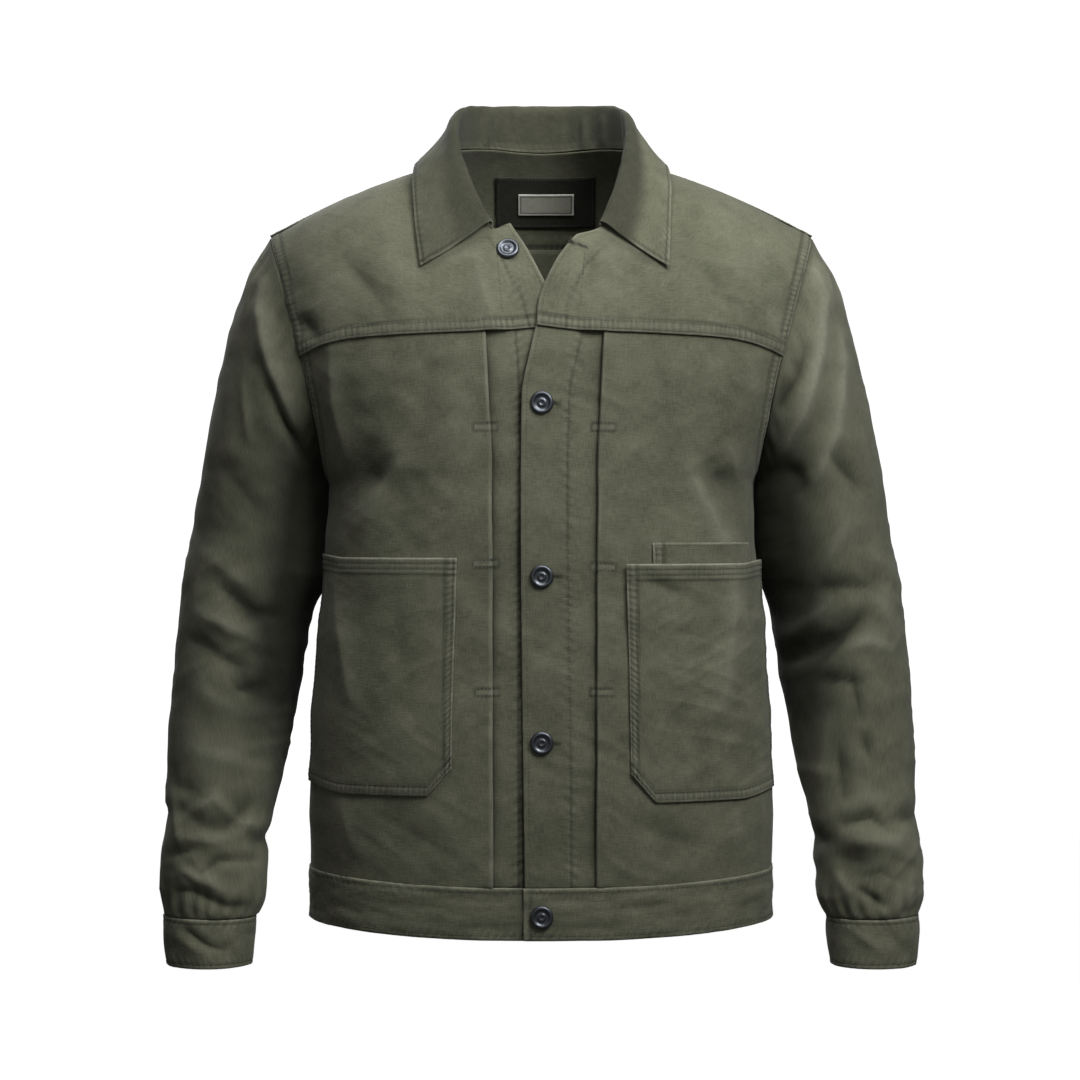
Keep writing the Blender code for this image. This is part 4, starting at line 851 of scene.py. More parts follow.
def wrinkles(x, z, seed):
    """Sharp, slanting small folds, uneven in height, strongest where the cloth is slack."""
    bend = 0.010 * ripple(x, z, 0.045, seed)
    first = ripple((x + bend) * 0.38 + z * 0.10, z + x * 0.35 + bend, 0.0155, seed + 1)
    second = ripple((x - bend) * 0.45 - z * 0.25, z - x * 0.55, 0.0125, seed + 2)
    strength = np.clip(0.45 + ripple(x, z, 0.05, seed + 3), 0.0, 1.0)
    other = np.clip(0.40 + ripple(x, z, 0.06, seed + 4), 0.0, 1.0)
    first, second = 0.5 - np.abs(first) ** 0.8, 0.5 - np.abs(second) ** 0.8
    return 0.0021 * strength * first + 0.0015 * other * second


def front_relief(name, x, z):
    """Creases and unevenness of a front; every layer of it takes the same, so none cuts another."""
    seed = 11 if name == "right" else 23
    relief = crease_field(x, z, CREASES["front_" + name])
    relief = relief + 0.0012 * ripple(x, z, 0.036, seed) + 0.0004 * ripple(x, z, 0.013, seed + 1)
    relief = relief + 0.38 * wrinkles(x, z, seed + 2)
    return relief


class Cut:
    """A cut piece of cloth while it is shaped: mid surface, way out, fading, painted highlight and
    painted shade.
    """

    def __init__(self, points, outward, closed=False):
        self.base = points
        self.points = points.copy()
        self.outward = outward
        self.closed = closed
        # Per point: how much lighter, partly faded cloth and partly painted highlight; and how much
        # darker, mostly painted shade with a few dark marks such as stitch rows and the label's border
        # line.
        self.fading_and_highlight = np.zeros(points.shape[:2])
        self.painted_shade_and_marks = np.zeros(points.shape[:2])
        self.thread = []

    def turned(self, grid, edge):
        """The grid seen with one of its edges as the first row."""
        if edge in ("left", "right"):
            grid = grid.swapaxes(0, 1)
        return grid[::-1] if edge in ("top", "right") else grid

    def from_edge(self, edge):
        """How far each point lies from an edge, and how far along that edge."""
        grid = self.turned(self.base, edge)
        gaps = np.linalg.norm(np.diff(grid, axis=0), axis=-1)
        away = np.concatenate([np.zeros((1, grid.shape[1])), np.cumsum(gaps, axis=0)])
        steps = np.linalg.norm(np.diff(grid[0], axis=0), axis=-1)
        along = np.broadcast_to(np.concatenate([[0.0], np.cumsum(steps)]), away.shape)
        if edge in ("top", "right"):
            away, along = away[::-1], along[::-1]
        if edge in ("left", "right"):
            away, along = away.T, along.T
        return away, along

    def move(self, amount):
        """Moves each point along its way out."""
        self.points = self.points + self.outward * np.asarray(amount)[..., None]

    def crease(self, relief):
        """Moves the cloth in and out; ridges are a little lighter, partly fading and partly painted
        highlight, and hollows a little darker with painted shade.
        """
        self.move(relief)
        self.fading_and_highlight += 0.16 * np.clip(relief / 0.0025, 0.0, 1.3)
        self.painted_shade_and_marks += 0.34 * np.clip(-relief / 0.0030, 0.0, 1.0)

    def gathers(self, away, along, period, slant, seed):
        """Small waves across a line of sewing, as high as 1, uneven in height and spacing."""
        total = along.max() + (along.max() / max(along.shape) if self.closed else 0.0)
        count = round(total / period)
        phase = count * (along + slant * away) / total + 0.55 * ripple(along, 0.0, 0.021, seed)
        strength = 0.62 + 0.38 * ripple(along, away, 0.016, seed + 1)
        return np.sin(2 * math.pi * phase) * strength

    def sewn(self, edge, width, rise, pucker, period=0.0050, slant=0.08, seed=1, only=1.0,
             rows=None):
        """A lapped, felled seam: a raised band along an edge, puckered between its stitches, with
        painted shade under its edge, in its stitch rows and in the puckers' dips, and painted highlight
        on their crests.
        """
        away, along = self.from_edge(edge)
        band = ease(width + 0.0014, width - 0.0002, away)
        window = np.sin(math.pi * np.clip((away + 0.001) / (width + 0.002), 0.0, 1.0)) ** 0.7
        wave = self.gathers(away, along, period, slant, seed)
        spread = np.exp(-np.maximum(away - width, 0.0) / 0.004)
        rows = rows or (0.0022, width - 0.0014)
        lines = sum(np.exp(-(((away - inset) / 0.0009) ** 2)) for inset in rows)
        lift = rise * band + 1.35 * pucker * wave * (window + 0.45 * spread * (1 - band))
        lift = lift - 0.0003 * lines
        self.move(only * lift)
        # The folded edge is lighter: partly faded, partly painted highlight.
        faded_and_lit = 0.80 * np.exp(-((away / 0.0009) ** 2))
        faded_and_lit = faded_and_lit * (0.6 + 0.4 * ripple(along, 0.0, 0.006, seed + 5))
        # Painted highlight on the puckers' crests and painted shade in their dips.
        crest = np.clip(wave, 0, 1)
        shade = min(1.0, pucker / 0.00026) * window * band
        self.fading_and_highlight += only * (faded_and_lit + 0.36 * crest * shade + 0.08 * band)
        # Painted shadow just beyond the band's edge, and painted shade in the sunk stitch rows.
        groove = np.exp(-(((away - width - 0.0007) / 0.0009) ** 2))
        dips = 0.36 * np.clip(-wave, 0, 1) * shade
        self.painted_shade_and_marks += only * (0.55 * groove + dips + 0.42 * lines)

    def stitched(self, edge, inset, groove, pucker, period=0.0062, seed=3, only=1.0):
        """A stitch line at a distance from an edge sinks in and gathers the cloth beside it; painted
        shade darkens the sunk line and the gathers' dips, and painted highlight lightens their crests.
        """
        away, along = self.from_edge(edge)
        near = np.exp(-(((away - inset) / 0.0011) ** 2))
        wide = np.exp(-(((away - inset) / 0.0052) ** 2))
        wave = self.gathers(away, along, period, 0.5, seed)
        self.move(only * (pucker * wave * wide * (1 - 0.6 * near) - groove * near))
        self.fading_and_highlight += only * 0.26 * np.clip(wave, 0, 1) * wide
        self.painted_shade_and_marks += only * (0.40 * near + 0.14 * np.clip(-wave, 0, 1) * wide)

    def edge_fade_and_highlight(self, edge, width=0.0016, amount=0.8, only=1.0):
        """Lightens an edge, partly as fading and partly as painted highlight: a bell of the distance to
        it, broken up along its length.
        """
        away, along = self.from_edge(edge)
        broken = 0.6 + 0.4 * ripple(along, 0.0, 0.007, 9)
        self.fading_and_highlight += only * 0.62 * amount * np.exp(-((away / (0.62 * width)) ** 2)) * broken

    def line(self, edge, inset, wall, face=1.0):
        """The path at a distance from an edge, on one face of the cloth, and the way out there."""
        base, points = self.turned(self.base, edge), self.turned(self.points, edge)
        up = self.turned(self.normals(), edge) * face
        gaps = np.linalg.norm(np.diff(base, axis=0), axis=-1)
        away = np.concatenate([np.zeros((1, base.shape[1])), np.cumsum(gaps, axis=0)])
        after = np.clip((away < inset).sum(axis=0), 1, len(away) - 1)
        column = np.arange(base.shape[1])
        low, high = away[after - 1, column], away[after, column]
        share = np.clip((inset - low) / np.maximum(high - low, 1e-9), 0, 1)[:, None]
        path = mix(points[after - 1, column], points[after, column], share)
        way = mix(up[after - 1, column], up[after, column], share)
        way /= np.linalg.norm(way, axis=1, keepdims=True)
        path = path + way * wall / 2
        if self.closed and edge in ("top", "bottom"):
            path, way = np.concatenate([path, path[:1]]), np.concatenate([way, way[:1]])
        return path, way

    def stitch(self, edge, inset, wall, start=0.003, stop=0.003, face=1.0, kept=None):
        """Sews a row of stitches at a distance from an edge; kept picks out part of it."""
        path, way = self.line(edge, inset, wall, face)
        if kept is not None:
            chosen = kept(path)
            path, way = path[chosen], way[chosen]
        if len(path) > 3:
            self.thread.append((path, way, start, stop))

    def normals(self):
        """Unit normals of the shaped surface, on the outward side."""
        grid = self.points
        if self.closed:
            grid = np.concatenate([grid[:, -1:], grid, grid[:, :1]], axis=1)
        normal = grid_normals(grid)
        if self.closed:
            normal = normal[:, 1:-1]
        return normal * np.sign((normal * self.outward).sum(axis=-1).mean())


def rim_ways(points, closed):
    """At each border point, the unit way that leads off the sheet, in order round the border."""
    def off(edge, inside):
        """Unit way from the points inside to those on the edge."""
        way = edge - inside
        return way / np.maximum(np.linalg.norm(way, axis=-1, keepdims=True), 1e-9)

    bottom, top = off(points[0], points[1]), off(points[-1], points[-2])
    if closed:
        return bottom, top[::-1]
    right, left = off(points[:, -1], points[:, -2]), off(points[:, 0], points[:, 1])
    way = np.concatenate([bottom, right[1:], top[::-1][1:], left[::-1][1:-1]])
    last = [0, len(bottom) - 1, len(bottom) + len(right) - 2]
    last.append(last[-1] + len(top) - 1)
    for at, other in zip(last, (left[0], right[0], top[-1], left[-1])):
        way[at] = way[at] + other
    return way / np.linalg.norm(way, axis=-1, keepdims=True)


def grid_faces(rows, columns, closed):
    """Numbers of a grid's points and the faces between them; a closed grid's last column meets
    its first."""
    index = np.arange(rows * columns).reshape(rows, columns)
    if closed:
        index = np.concatenate([index, index[:, :1]], axis=1)
    corners = [index[:-1, :-1], index[:-1, 1:], index[1:, 1:], index[1:, :-1]]
    return index, np.stack(corners, axis=-1).reshape(-1, 4)


def shell(cut, wall, follow=True):
    """Closed shell round a mid surface: outer and inner faces and a rounded rim.

    Returns points, faces, and for each point the grid point that it belongs to."""
    points, closed = cut.points, cut.closed
    way = cut.normals() if follow else cut.outward
    count = points.shape[0] * points.shape[1]
    seam, outer = grid_faces(*points.shape[:2], closed)
    flat = points.reshape(-1, 3)
    spread = (way * wall / 2).reshape(-1, 3)
    if closed:
        loops = [seam[0], seam[-1][::-1]]
        ways = list(rim_ways(np.concatenate([points, points[:, :1]], axis=1), True))
    else:
        border = np.concatenate([seam[0], seam[1:, -1], seam[-1, ::-1][1:], seam[::-1, 0][1:-1]])
        loops = [np.concatenate([border, border[:1]])]
        ways = [rim_ways(points, False)]
    faces = [outer, outer[:, ::-1] + count]
    extra, owner, start = [], [np.arange(count), np.arange(count)], 2 * count
    for loop, leads in zip(loops, ways):
        real = loop[:-1]
        extra.append(flat[real] + leads[: len(real)] * wall * 0.32)
        owner.append(real)
        rim = start + np.arange(len(real))
        rim = np.concatenate([rim, rim[:1]])
        faces.append(np.stack([rim[:-1], rim[1:], loop[1:], loop[:-1]], axis=1))
        faces.append(np.stack([loop[:-1] + count, loop[1:] + count, rim[1:], rim[:-1]], axis=1))
        start += len(real)
    everything = np.concatenate([flat + spread, flat - spread, *extra])
    faces = np.concatenate(faces)
    if (grid_normals(points) * way).sum(axis=-1).mean() < 0:
        faces = faces[:, ::-1]
    return everything, faces, np.concatenate(owner)


def mesh_object(name, points, faces, finish):
    """A smooth mesh object from whole arrays of points and of faces with equally many corners."""
    mesh = bpy.data.meshes.new(name)
    mesh.vertices.add(len(points))
    mesh.vertices.foreach_set("co", np.asarray(points, np.float32).ravel())
    size = faces.shape[1]
    mesh.loops.add(faces.size)
    mesh.loops.foreach_set("vertex_index", faces.ravel().astype(np.int32))
    mesh.polygons.add(len(faces))
    mesh.polygons.foreach_set("loop_start", np.arange(0, faces.size, size, dtype=np.int32))
    mesh.polygons.foreach_set("loop_total", np.full(len(faces), size, np.int32))
    mesh.update(calc_edges=True)
    mesh.validate()
    mesh.shade_smooth()
    mesh.materials.append(finish)
    made = bpy.data.objects.new(name, mesh)
    bpy.context.scene.collection.objects.link(made)
    return made


def threads(name, rows, finish, settings):
    """All stitches of a piece: each a short bead that sinks into the cloth at both ends."""
    thick = settings.thickness
    starts, ways, ups, sizes = [], [], [], []
    for path, up, start, stop in rows:
        run = np.concatenate([[0.0], np.cumsum(np.linalg.norm(np.diff(path, axis=0), axis=1))])
        # Bars and buttonholes are sewn with close, short stitches.
        short = run[-1] < SHORT_ROW
        length = settings.length * (0.5 if short else 1.0)
        gap = settings.gap * (0.4 if short else 1.0)
        count = int((run[-1] - start - stop) / (length + gap))
        if count < 1:
            continue
        at = start + (np.arange(count) + 0.5) * (length + gap)
        place = np.stack([np.interp(at, run, path[:, i]) for i in range(3)], 1)
        ahead = np.stack([np.interp(at + length / 2, run, path[:, i]) for i in range(3)], 1)
        behind = np.stack([np.interp(at - length / 2, run, path[:, i]) for i in range(3)], 1)
        way = ahead - behind
        starts.append(place)
        sizes.append(np.full(count, length))
        ways.append(way / np.maximum(np.linalg.norm(way, axis=1, keepdims=True), 1e-9))
        ups.append(np.stack([np.interp(at, run, up[:, i]) for i in range(3)], 1))
    if not starts:
        return None
    place, way, up = np.concatenate(starts), np.concatenate(ways), np.concatenate(ups)
    across = np.cross(way, up)
    across /= np.linalg.norm(across, axis=1, keepdims=True)
    # Three rings of three points: place along the stitch, size, and how far it sinks in
    rings = ((-0.5, 0.35, 0.2), (0.0, 0.5, 0.0), (0.5, 0.35, 0.2))
    pattern = np.array([
        (at, a * thick * size, b * thick * size - thick * sink)
        for at, size, sink in rings for a, b in ((-1, -0.4), (0, 0.9), (1, -0.4))
    ])
    size = np.concatenate(sizes)[:, None, None]
    points = place[:, None] + way[:, None] * size * pattern[:, :1]
    points = points + across[:, None] * pattern[:, 1:2]
    points = points + up[:, None] * pattern[:, 2:]
    sides = [(0, 1, 4, 3), (1, 2, 5, 4), (2, 0, 3, 5), (3, 4, 7, 6), (4, 5, 8, 7), (5, 3, 6, 8)]
    caps = [(2, 1, 0), (6, 7, 8)]
    count = len(place)
    first = 9 * np.arange(count)[:, None, None]
    quads = (np.array(sides)[None] + first).reshape(-1, 4)
    ends = (np.array(caps)[None] + first).reshape(-1, 3)
    triangles = np.concatenate([quads[:, [0, 1, 2]], quads[:, [0, 2, 3]], ends])
    return mesh_object(name, points.reshape(-1, 3), triangles, finish)


def put(node, cut, wall, finish, held="stretched", follow=True, slot="canvas"):
    """Makes the shell of a piece, with its thread, and has both stand for the solid."""
    settings = bpy.context.scene.overshirt_thread
    points, faces, owner = shell(cut, wall, follow)
    made = mesh_object(node + "_cloth", points + [BODY_SHIFT, 0, 0], faces, finish)
    columns = np.linalg.norm(np.diff(cut.base, axis=1), axis=-1)
    rows = np.linalg.norm(np.diff(cut.base, axis=0), axis=-1)
    across = np.concatenate([np.zeros((len(cut.base), 1)), np.cumsum(columns, axis=1)], axis=1)
    up = np.concatenate([np.zeros((1, cut.base.shape[1])), np.cumsum(rows, axis=0)])
    flat = np.stack([across, up], axis=-1).reshape(-1, 2)[owner]
    mesh = made.data
    corner = np.empty(len(mesh.loops), np.int32)
    mesh.loops.foreach_get("vertex_index", corner)
    layer = mesh.uv_layers.new(name="cloth")
    layer.data.foreach_set("uv", flat[corner].astype(np.float32).ravel())
    for name, values in (("fading_and_highlight", cut.fading_and_highlight), ("painted_shade_and_marks", cut.painted_shade_and_marks)):
        field = mesh.attributes.new(name, "FLOAT", "POINT")
        field.data.foreach_set("value", np.clip(values.ravel()[owner], 0, 1).astype(np.float32))
    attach(made, "root")
    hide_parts(node)
    if cut.thread:
        lines = [(path + [BODY_SHIFT, 0, 0], way, a, b) for path, way, a, b in cut.thread]
        stitches = threads(node + "_stitches", lines, finishes()["thread"], settings)
        if stitches:
            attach(stitches, "root")
    return made


# Pieces


def out_of(surface, first, second):
    """Unit normals of a surface of two parameters."""
    return lifted(surface, first, second, 1.0 + 0.0 * first) - surface(first, second)


def above_pit(path):
    """Which points of a row of stitches lie above the armpit, where the armhole is felled."""
    return path[:, 2] > PIT_HEIGHT + 0.004


def front_cloth(name):
    """Front: centre strip set back, a knife pleat folded over it, then the side out to the armhole.

    Each row runs round the body at one height; a fold turns through half a circle."""
    front = FRONTS[name]
    rows = np.linspace(0.0, 1.0, FRONT_ROWS)

    def bottom(angle):
        """The waist seam; out from the pleat the edge reaches into the waistband."""
        reach = (TOUCH + TUCKED) * ease(TUCK_FROM, TUCK_TO, CHEST_HALF_WIDTH * np.sin(angle))
        return waist_height(angle) + TOUCH - reach

    def top(angle, x):
        """The yoke seam and the lap under the yoke."""
        return seam_height(np.sin(angle)) + SEAM_LAP

    outer = outer_angle(rows, bottom, top)
    near = mix(WAIST_SEAM - FRONT_DIP, TOP_ROW, rows)
    edge = through(near, front["edge"]["height"], front["edge"]["x"])
    pleat = through(near, front["pleat"]["height"], front["pleat"]["x"])
    pleat = pleat + 0.0006 * ripple(near, 0.0, 0.05, 41)
    width = body_size("half_width", near)
    under, turn = pleat + PLEAT_UNDERLAY, LAYER / 2
    strip_x = mix(edge[:, None], under[:, None], np.linspace(0.0, 1.0, STRIP_POINTS)[None])
    back_x = mix(under[:, None], pleat[:, None], np.linspace(0.0, 1.0, TUCK_POINTS)[None])
    turns = [(under + turn)[:, None], (pleat - turn)[:, None]]
    inner = np.concatenate([strip_x, turns[0], back_x, turns[1]], axis=1)
    inner = np.arcsin(inner / width[:, None])
    side = np.linspace(0.0, 1.0, SIDE_POINTS)
    side = mix(np.arcsin(pleat / width)[:, None], outer[:, None], side[None])
    angle = np.concatenate([inner, side], axis=1)
    level = np.repeat([-2.0, -1.5, -1.0, -0.5, 0.0], [STRIP_POINTS, 1, TUCK_POINTS, 1, SIDE_POINTS])
    height = mix(bottom(angle), top(angle, 0.0), rows[:, None])
    x = width[:, None] * np.sin(angle)
    lift = level[None] * LAYER + overlap_lift(x, front["overlap"])
    points = lifted(torso, angle, height, lift)
    outward = out_of(torso, angle, height) * [front["side"], 1, 1]
    points[..., 0] *= front["side"]
    cut = Cut(points, outward)
    z = height
    cut.crease(front_relief(name, x, z) * ease(0.0, 0.014, z - bottom(angle)))
    is_side = (level > -0.8)[None]
    away_x = x - pleat[:, None]
    # The folded edge of the pleat stands a little open between its bars.
    free = ease(WAIST_SEAM + 0.005, WAIST_SEAM + 0.05, z) * ease(-0.152, -0.175, z)
    for bar in BARS[name]:
        free = free * (1.0 - np.exp(-(((z - bar[1]) / 0.016) ** 2)))
    opened = is_side * np.exp(-np.clip(away_x, 0, 1) / 0.006) * free
    cut.move(opened * 0.0006 * (1.0 + 0.7 * ripple(z, 0.0, 0.03, 43)))
    # Lighter along the pleat's folded edge: partly faded, partly painted highlight.
    edge_fade_and_highlight = is_side * 0.40 * np.exp(-((away_x / 0.0011) ** 2))
    cut.fading_and_highlight += edge_fade_and_highlight * (0.6 + 0.4 * ripple(z, 0.0, 0.012, 44))
    # Painted shadow on the centre strip beside the pleat's folded edge.
    beside = (~is_side) * np.exp(-np.clip(pleat[:, None] - 0.0010 - x, 0, 1) / 0.0030)
    cut.painted_shade_and_marks += (0.55 + 0.45 * free) * beside
    # Painted shade along the lower edge, where it goes into the waistband.
    cut.painted_shade_and_marks += 0.30 * np.exp(-np.clip(z - bottom(angle), 0, 1) / 0.0035)
    # Painted shadow of the left front's edge on the right front beneath it.
    if name == "right":
        over = through(z, FRONTS["left"]["edge"]["height"], FRONTS["left"]["edge"]["x"])
        cut.painted_shade_and_marks += 0.85 * np.exp(-np.clip(x + over, 0, 1) / 0.0034) * ease(-0.14, -0.17, z)
    body = ease(PIT_HEIGHT - 0.006, PIT_HEIGHT + 0.004, z)
    cut.sewn("right", 0.0095, 0.00035, 0.00028, slant=0.35, seed=51, only=body)
    cut.stitched("left", FRONT_FACING_ROW, 0.0003, 0.0009, period=0.0078, seed=52)
    cut.edge_fade_and_highlight("left", 0.0016, 0.75)
    for inset in SIDE_ROWS:
        cut.stitch("right", inset, CLOTH, kept=above_pit)
    cut.stitch("left", FRONT_FACING_ROW, CLOTH)
    if name == "left":
        cut.stitch("left", FRONT_EDGE_ROW, CLOTH)
    for place in BARS[name]:
        bartack(cut, name, *place)
    if name == "left":
        for height in BUTTON_HEIGHTS[1:4]:
            buttonhole(cut, name, 0.0078, height, long=0.0175)
    return cut


def front_spot(name, x, z, lift):
    """Points of a front given as seen from the front, with its relief, and the way out there."""
    front = FRONTS[name]
    angle = np.arcsin(np.clip(x / body_size("half_width", z), -1, 1))
    way = out_of(torso, angle, z)
    points = torso(angle, z) + way * (lift + front_relief(name, x, z))[..., None]
    return points * [front["side"], 1, 1], way * [front["side"], 1, 1]


def layer_lift(name, x, z):
    """How far the outer face stands off the body surface on either side of the pleat."""
    pleat = through(z, FRONTS[name]["pleat"]["height"], FRONTS[name]["pleat"]["x"])
    level = np.where(x > pleat - 0.0008, 0.0, -2.0)
    return level * LAYER + overlap_lift(x, FRONTS[name]["overlap"]) + CLOTH / 2


def sew_on_front(cut, name, xs, zs, start=0.0, stop=0.0):
    """A row of stitches on a front or its yoke, through places as seen from the front."""
    xs, zs = np.broadcast_arrays(xs, zs)
    on_yoke = zs.mean() > YOKE_SEAM["height"][0] - 0.005
    lift = yoke_lift(name, xs, zs) + CLOTH / 2 if on_yoke else layer_lift(name, xs, zs)
    cut.thread.append((*front_spot(name, xs, zs, lift), start, stop))


def side_place(cut, name):
    """Each point of a front as seen from the front, in side coordinates."""
    return cut.base[..., 0] * FRONTS[name]["side"], cut.base[..., 2]


def bartack(cut, name, x, z):
    """A small sewn box across the pleat's fold: rows round its edge, darker there and lighter just
    inside.
    """
    half_wide, half_high = 0.0100, 0.0036
    here_x, here_z = side_place(cut, name)
    off_x, off_z = np.abs(here_x - x) - half_wide, np.abs(here_z - z) - half_high
    inside = (off_x < 0) & (off_z < 0)
    outside = np.hypot(np.maximum(off_x, 0), np.maximum(off_z, 0))
    off = np.where(inside, np.minimum(-off_x, -off_z), outside)
    cut.painted_shade_and_marks += 0.5 * np.exp(-((off / 0.0009) ** 2))
    cut.fading_and_highlight += 0.35 * inside * np.exp(-(((np.maximum(off_x, off_z) + 0.0014) / 0.0012) ** 2))
    for z_row in (z - half_high, z + half_high, z - half_high + 0.0012, z + half_high - 0.0012):
        sew_on_front(cut, name, np.linspace(x - half_wide, x + half_wide, 24), z_row)
    for x_row in (x - half_wide, x + half_wide):
        sew_on_front(cut, name, x_row, np.linspace(z - half_high, z + half_high, 9))


def buttonhole(cut, name, x, z, tilt=0.0, long=0.019):
    """Two rows of close stitches across a slit painted dark as shade between raised lips, tilted by an
    angle.
    """
    here_x, here_z = side_place(cut, name)
    run = (here_x - x) * math.cos(tilt) + (here_z - z) * math.sin(tilt)
    off = (here_z - z) * math.cos(tilt) - (here_x - x) * math.sin(tilt)
    inside = ease(long / 2 + 0.0012, long / 2 - 0.0004, np.abs(run))
    slit = np.exp(-((off / 0.0008) ** 2))
    lips = np.exp(-(((np.abs(off) - 0.0018) / 0.0012) ** 2))
    # The slit and a soft band round it are painted shade; no hole is cut.
    cut.painted_shade_and_marks += inside * (0.95 * slit + 0.25 * np.exp(-((off / 0.0030) ** 2)))
    cut.move(inside * 0.0005 * (lips - slit))
    along = np.linspace(-long / 2, long / 2, 22)
    for aside in (-0.0005, 0.0, 0.0005):
        xs = x + along * math.cos(tilt) - aside * math.sin(tilt)
        sew_on_front(cut, name, xs, z + along * math.sin(tilt) + aside * math.cos(tilt))
    for place in along:
        for aside in (0.0005, -0.0005):
            across = np.linspace(aside, aside * 4.4, 3)
            xs = x + place * math.cos(tilt) - across * math.sin(tilt)
            zs = z + place * math.sin(tilt) + across * math.cos(tilt)
            sew_on_front(cut, name, xs, zs, 0.0, -0.0012)


def yoke_lift(name, x, z):
    """How far a front yoke stands off the body, in side coordinates."""
    return front_yoke_lift(x, z, FRONTS[name], FRONTS[name]["overlap"])


def yoke_cloth(name):
    """Front yoke: neck corner, shoulder seam, armhole and the seam that laps over the front."""
    front = FRONTS[name]
    grid = front_yoke_grid(front)
    last = STRIP_COLUMNS + PANEL_COLUMNS
    rows = [0, YOKE_EDGE_ROWS, len(grid) - 1]
    grid = finer_both(grid, shoulder, rows, [0, last], 0.0018)
    x, turn = grid[..., 0], grid[..., 1]
    z = shoulder(x, turn)[..., 2]
    points = lifted(shoulder, x, turn, yoke_lift(name, x, z))
    outward = out_of(shoulder, x, turn) * [front["side"], 1, 1]
    points[..., 0] *= front["side"]
    cut = Cut(points, outward)
    fade = ease(-0.02, -0.12, turn)
    cut.crease(front_relief(name, x, z) * fade)
    cut.sewn("bottom", 0.0102, 0.0006, 0.00030, seed=61)
    above_seam = ease(0.004, 0.012, z - seam_height(0.8))
    cut.sewn("right", 0.0098, 0.00035, 0.00028, slant=0.35, seed=62, only=above_seam)
    cut.painted_shade_and_marks += 0.5 * crease_field(x, z, [COLLAR_SHADOW[name]]) / CREASE_DEPTH
    cut.stitched("left", 0.0245, 0.0003, 0.00055, seed=63, only=ease(0.055, 0.045, x))
    cut.edge_fade_and_highlight("left", 0.0018, 0.8)
    for inset in YOKE_ROWS:
        cut.stitch("bottom", inset, CLOTH)
        cut.stitch("right", inset, CLOTH, start=0.010)
    cut.stitch("top", 0.0042, CLOTH)
    cut.stitch("left", 0.0035, CLOTH, kept=lambda path: np.abs(path[:, 0]) < 0.052)
    heights, across = FACING_STITCH[name]
    zs = np.linspace(heights[0], heights[-1], 60)
    sew_on_front(cut, name, through(zs, heights, across), zs, 0.001, 0.001)
    if name == "left":
        buttonhole(cut, name, 0.0304, -0.0775, tilt=-0.35, long=0.016)
    return cut


def back_yoke_cloth():
    """Back yoke: from the back seam up over the shoulder ridge to both shoulder seams."""
    grid = finer_both(back_yoke_grid(), shoulder, [0, BACK_YOKE_ROWS], [0, 6, 18, 24], 0.0024)
    x, turn = grid[..., 0], grid[..., 1]
    points = lifted(shoulder, x, turn, back_yoke_lift(turn))
    cut = Cut(points, out_of(shoulder, x, turn))
    z = points[..., 2]
    fade = ease(0.10, 0.5, turn)
    cut.move(fade * (0.0009 * ripple(x, z, 0.035, 71) + 0.0004 * ripple(x, z, 0.013, 72)))
    cut.sewn("bottom", 0.0102, 0.0006, 0.00030, seed=73)
    cut.sewn("left", 0.0098, 0.0004, 0.00028, seed=74)
    cut.sewn("right", 0.0098, 0.0004, 0.00028, seed=75)
    shoulder_part = ease(0.070, 0.074, np.abs(x))
    cut.stitched("top", 0.0032, 0.0002, 0.0003, seed=76, only=shoulder_part)
    cut.edge_fade_and_highlight("top", 0.0020, 0.9, only=shoulder_part)
    for inset in YOKE_ROWS:
        for edge in ("bottom", "left", "right"):
            cut.stitch(edge, inset, CLOTH)
    for inset in YOKE_FACING_ROWS:
        cut.stitch("bottom", inset, CLOTH, face=-1.0)
    cut.stitch("top", 0.0032, CLOTH, kept=lambda path: path[:, 0] > 0.0745)
    cut.stitch("top", 0.0032, CLOTH, kept=lambda path: path[:, 0] < -0.0745)
    return cut


def back_cloth():
    """Back: one piece from side seam to side seam, up to the back seam under the yoke."""
    rows = np.linspace(0.0, 1.0, BACK_ROWS)

    def bottom(angle):
        """The waist seam, from which the edge reaches into the waistband."""
        return WAIST_SEAM - TUCKED + 0.0 * angle

    def top(angle, x):
        """The back seam and the lap under the yoke."""
        return back_seam_height(x) + SEAM_LAP

    outer = outer_angle(rows, bottom, top)
    angle = math.pi - outer[:, None] * np.linspace(-1.0, 1.0, BACK_POINTS)[None]
    low = bottom(angle)
    x = CHEST_HALF_WIDTH * np.sin(angle)
    for _ in range(3):
        height = mix(low, top(angle, x), rows[:, None])
        x = body_size("half_width", height) * np.sin(angle)
    points = torso(angle, height)
    cut = Cut(points, out_of(torso, angle, height))
    relief = crease_field(x, height, CREASES["back"])
    relief = relief + 0.0009 * ripple(x, height, 0.036, 81) + 0.0004 * ripple(x, height, 0.014, 82)
    edges = ease(0.0, 0.015, height - WAIST_SEAM)
    cut.crease(relief * edges)
    body = ease(PIT_HEIGHT - 0.006, PIT_HEIGHT + 0.004, height)
    for number, edge in enumerate(("left", "right")):
        cut.sewn(edge, 0.0098, 0.00035, 0.00028, seed=83 + number, only=body)
        for inset in SIDE_ROWS:
            cut.stitch(edge, inset, CLOTH, kept=above_pit)
    return cut


